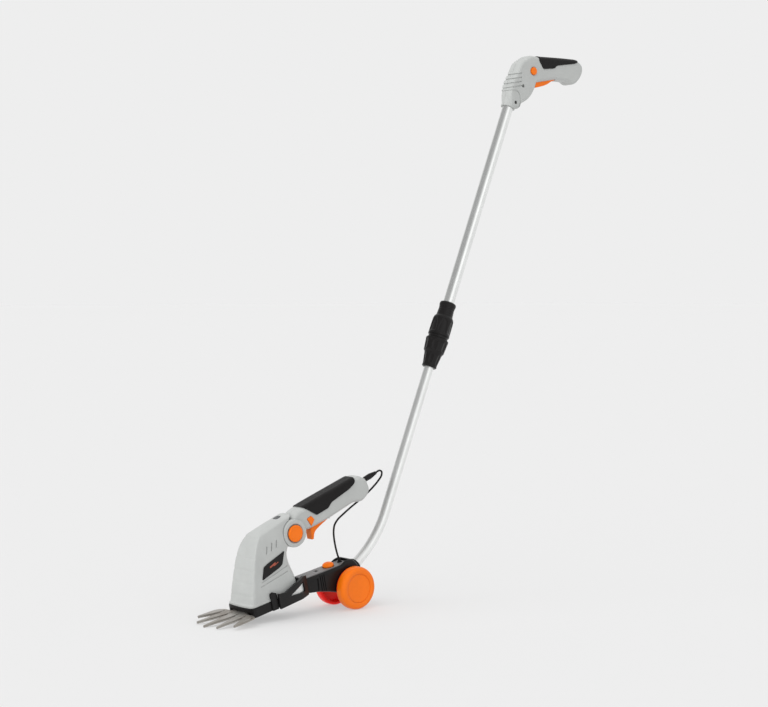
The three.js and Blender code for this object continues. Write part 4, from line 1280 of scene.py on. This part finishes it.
def make_tubes():
    route = lower_route(BEND_STEPS)
    lower = swept(route, LOWER_TUBE, 64, TUBE_WALL)
    piece("tube_lower", lower, WORLD, "root", "tube", ["lower_tube"], look=LOWER_TUBE_LOOK)
    bottom, top = UPPER_TUBE_SPAN
    walls = [
        (UPPER_TUBE - TUBE_WALL, bottom),
        (UPPER_TUBE - 0.2, bottom),
        (UPPER_TUBE, bottom + 0.2),
        (UPPER_TUBE, top - 0.2),
        (UPPER_TUBE - 0.2, top),
        (UPPER_TUBE - TUBE_WALL, top),
    ]
    piece("tube_upper", lathe(walls, 64), POLE, "pole_upper", "tube", ["upper_tube"])


make_clamp()
make_tubes()

# ---------------------------------------------------------------- top handle
TOP_CORNERS = [
    (-10, -9, 3), (-12, 14, 8), (-5, 37, 6), (5.5, 53, 8), (17, 74, 6), (42, 88, 5), (64, 86.5, 8),
    (120, 88.5, 20), (163, 89, 8), (177, 82, 8), (179.5, 69, 8), (172, 55, 8), (160, 44.5, 6),
    (149, 42, 5), (139, 48, 6), (104, 47.5, 3), (57, 38.5, 2), (53.5, 29, 4), (44, 13.5, 10),
    (33, 4.5, 10), (19, -2, 2), (13, -13, 2), (1, -12, 2),
]
TOP_WIDTH = 15
TOP_PIVOT = (104, 50)
TOP_LOCK = (47, 59)
TOP_SCREWS = [(21, 30, 4, -5), (3, -1, 11.4, 10.3)]  # y, z, the head's seat, the hole's end
RIB_DEPTH = 1.2
TOP_RIBS = [28, 35.5, 43, 50.5]
TOP_COLLAR_STEP = [(-40, 20.5), (3, 21.5), (11, 17.5, 4), (14.5, 8, 4), (15, -30), (-40, -30)]
TOP_GRIP_REGION = [
    (63, 100), (61, 80, 2), (72, 65, 2), (100, 68, 2), (107, 74, 3), (152, 81, 2), (162, 84, 4),
    (165, 100),
]
TOP_TRIGGER = [
    (107, 53, 1.5), (105.8, 46.8, 2), (97, 44.3, 2), (88, 38.5, 6), (76, 34.5, 6), (58, 30, 2),
    (55.5, 31.5, 1.5), (55.5, 38, 1), (62, 44, 1), (84, 47.5, 2), (97, 52.5, 2),
]
LOCK_SLIDE = [
    (0, -17.5), (5.6, -17.5), (6.6, -17.1), (7, -16.2), (7, 16.2), (6.6, 17.1), (5.6, 17.5),
    (0, 17.5),
]


def along_pole(distance):
    return (0, distance * math.sin(math.radians(LEAN)), distance * math.cos(math.radians(LEAN)))


def top_ribs():
    """Cutters for the shallow grooves round the hub's front and for the step down to its collar."""
    outlines = [[(-40, z - 11), (17, z + 1.4), (16, z + 3.6), (-40, z - 8.4)] for z in TOP_RIBS]
    outlines.append(TOP_COLLAR_STEP)
    width = TOP_WIDTH - RIB_DEPTH
    core = grown(TOP_CORNERS, -RIB_DEPTH)
    return [cut(slab(line, -30, 30), slab(core, -width, width, 5.4, 7.4)) for line in outlines]


def make_top_handle():
    line = TOP_CORNERS
    outer = slab(line, SEAM, TOP_WIDTH, 6, 8, start=0.3)
    hollow = slab(grown(line, -WALL), -5, TOP_WIDTH - WALL, 4, rim=4)
    saddle = bar(along_pole(-4), along_pole(26), UPPER_TUBE + WALL, sides=64)
    bosses = [cross_bar(y, z, -TOP_WIDTH, TOP_WIDTH, 5) for y, z, *_ in TOP_SCREWS]
    body = joined(cut(copied(outer), hollow), saddle, *bosses)
    body = cut(common(body, outer), *top_ribs())
    collar = bar(along_pole(-11), along_pole(12), UPPER_TUBE + 3, sides=64)
    body = joined(body, common(collar, box((SEAM, 40), (-40, 40), (-40, 40))))
    body = cut(
        body,
        bar(along_pole(-40), along_pole(24), UPPER_TUBE + 0.3, sides=64),
        box((-11.1, 11.1), (54, 108.5), (28, 55)),
        cross_bar(*TOP_LOCK, -40, 40, 7.4, 64),
        cross_bar(*TOP_PIVOT, -5, 12.8, PIN_BORE),
        cross_bar(*TOP_LOCK, TOP_WIDTH - 0.8, 40, 8.5, 64),
    )
    screws = []
    for y, z, seat, tip in TOP_SCREWS:
        screws += [cross_bar(y, z, seat, 40, 3.2), cross_bar(y, z, tip, seat + 1, 1.3)]
    both_sides(
        "top_casing", body, TOP, "pole_upper", "shell_grey", "top_shell", left_cuts=screws, sharp=35
    )

    grip = grip_skin(line, TOP_WIDTH, (6, 8), 1.4, TOP_GRIP_REGION)
    piece("top_grip_overlay", grip, TOP, "pole_upper", "grip_rubber", ["top_grip"], bevel=0.5)

    trigger = slab(TOP_TRIGGER, -10.5, 10.5, 1.2, rim=4)
    trigger = cut(trigger, cross_bar(*TOP_PIVOT, -20, 20, PIN_BORE))
    piece("top_finger_lever", trigger, TOP, "top_trigger", "orange", ["top_trigger"])
    button = moved(lathe(LOCK_SLIDE, 64, "X"), y=TOP_LOCK[0], z=TOP_LOCK[1])
    piece("top_lock_slide", button, TOP, "top_lock_button", "orange", ["top_lock_button"])


make_top_handle()

# ---------------------------------------------------------------- hidden and small CAD nodes
SLOTS = {part["node"]: part["material_slot"] for part in frame["record"]["subparts"]}


def dress_cad_nodes():
    """Every CAD node that still shows gets its slot's finish, and the screws a blackened one."""
    for name, node in frame["nodes"].items():
        if not node.hide_render:
            look = SCREW_LOOK if name.startswith("top_screw") else LOOKS[SLOTS[name]]
            node.data.materials.clear()
            node.data.materials.append(look)


dress_cad_nodes()

bpy.context.view_layer.update()
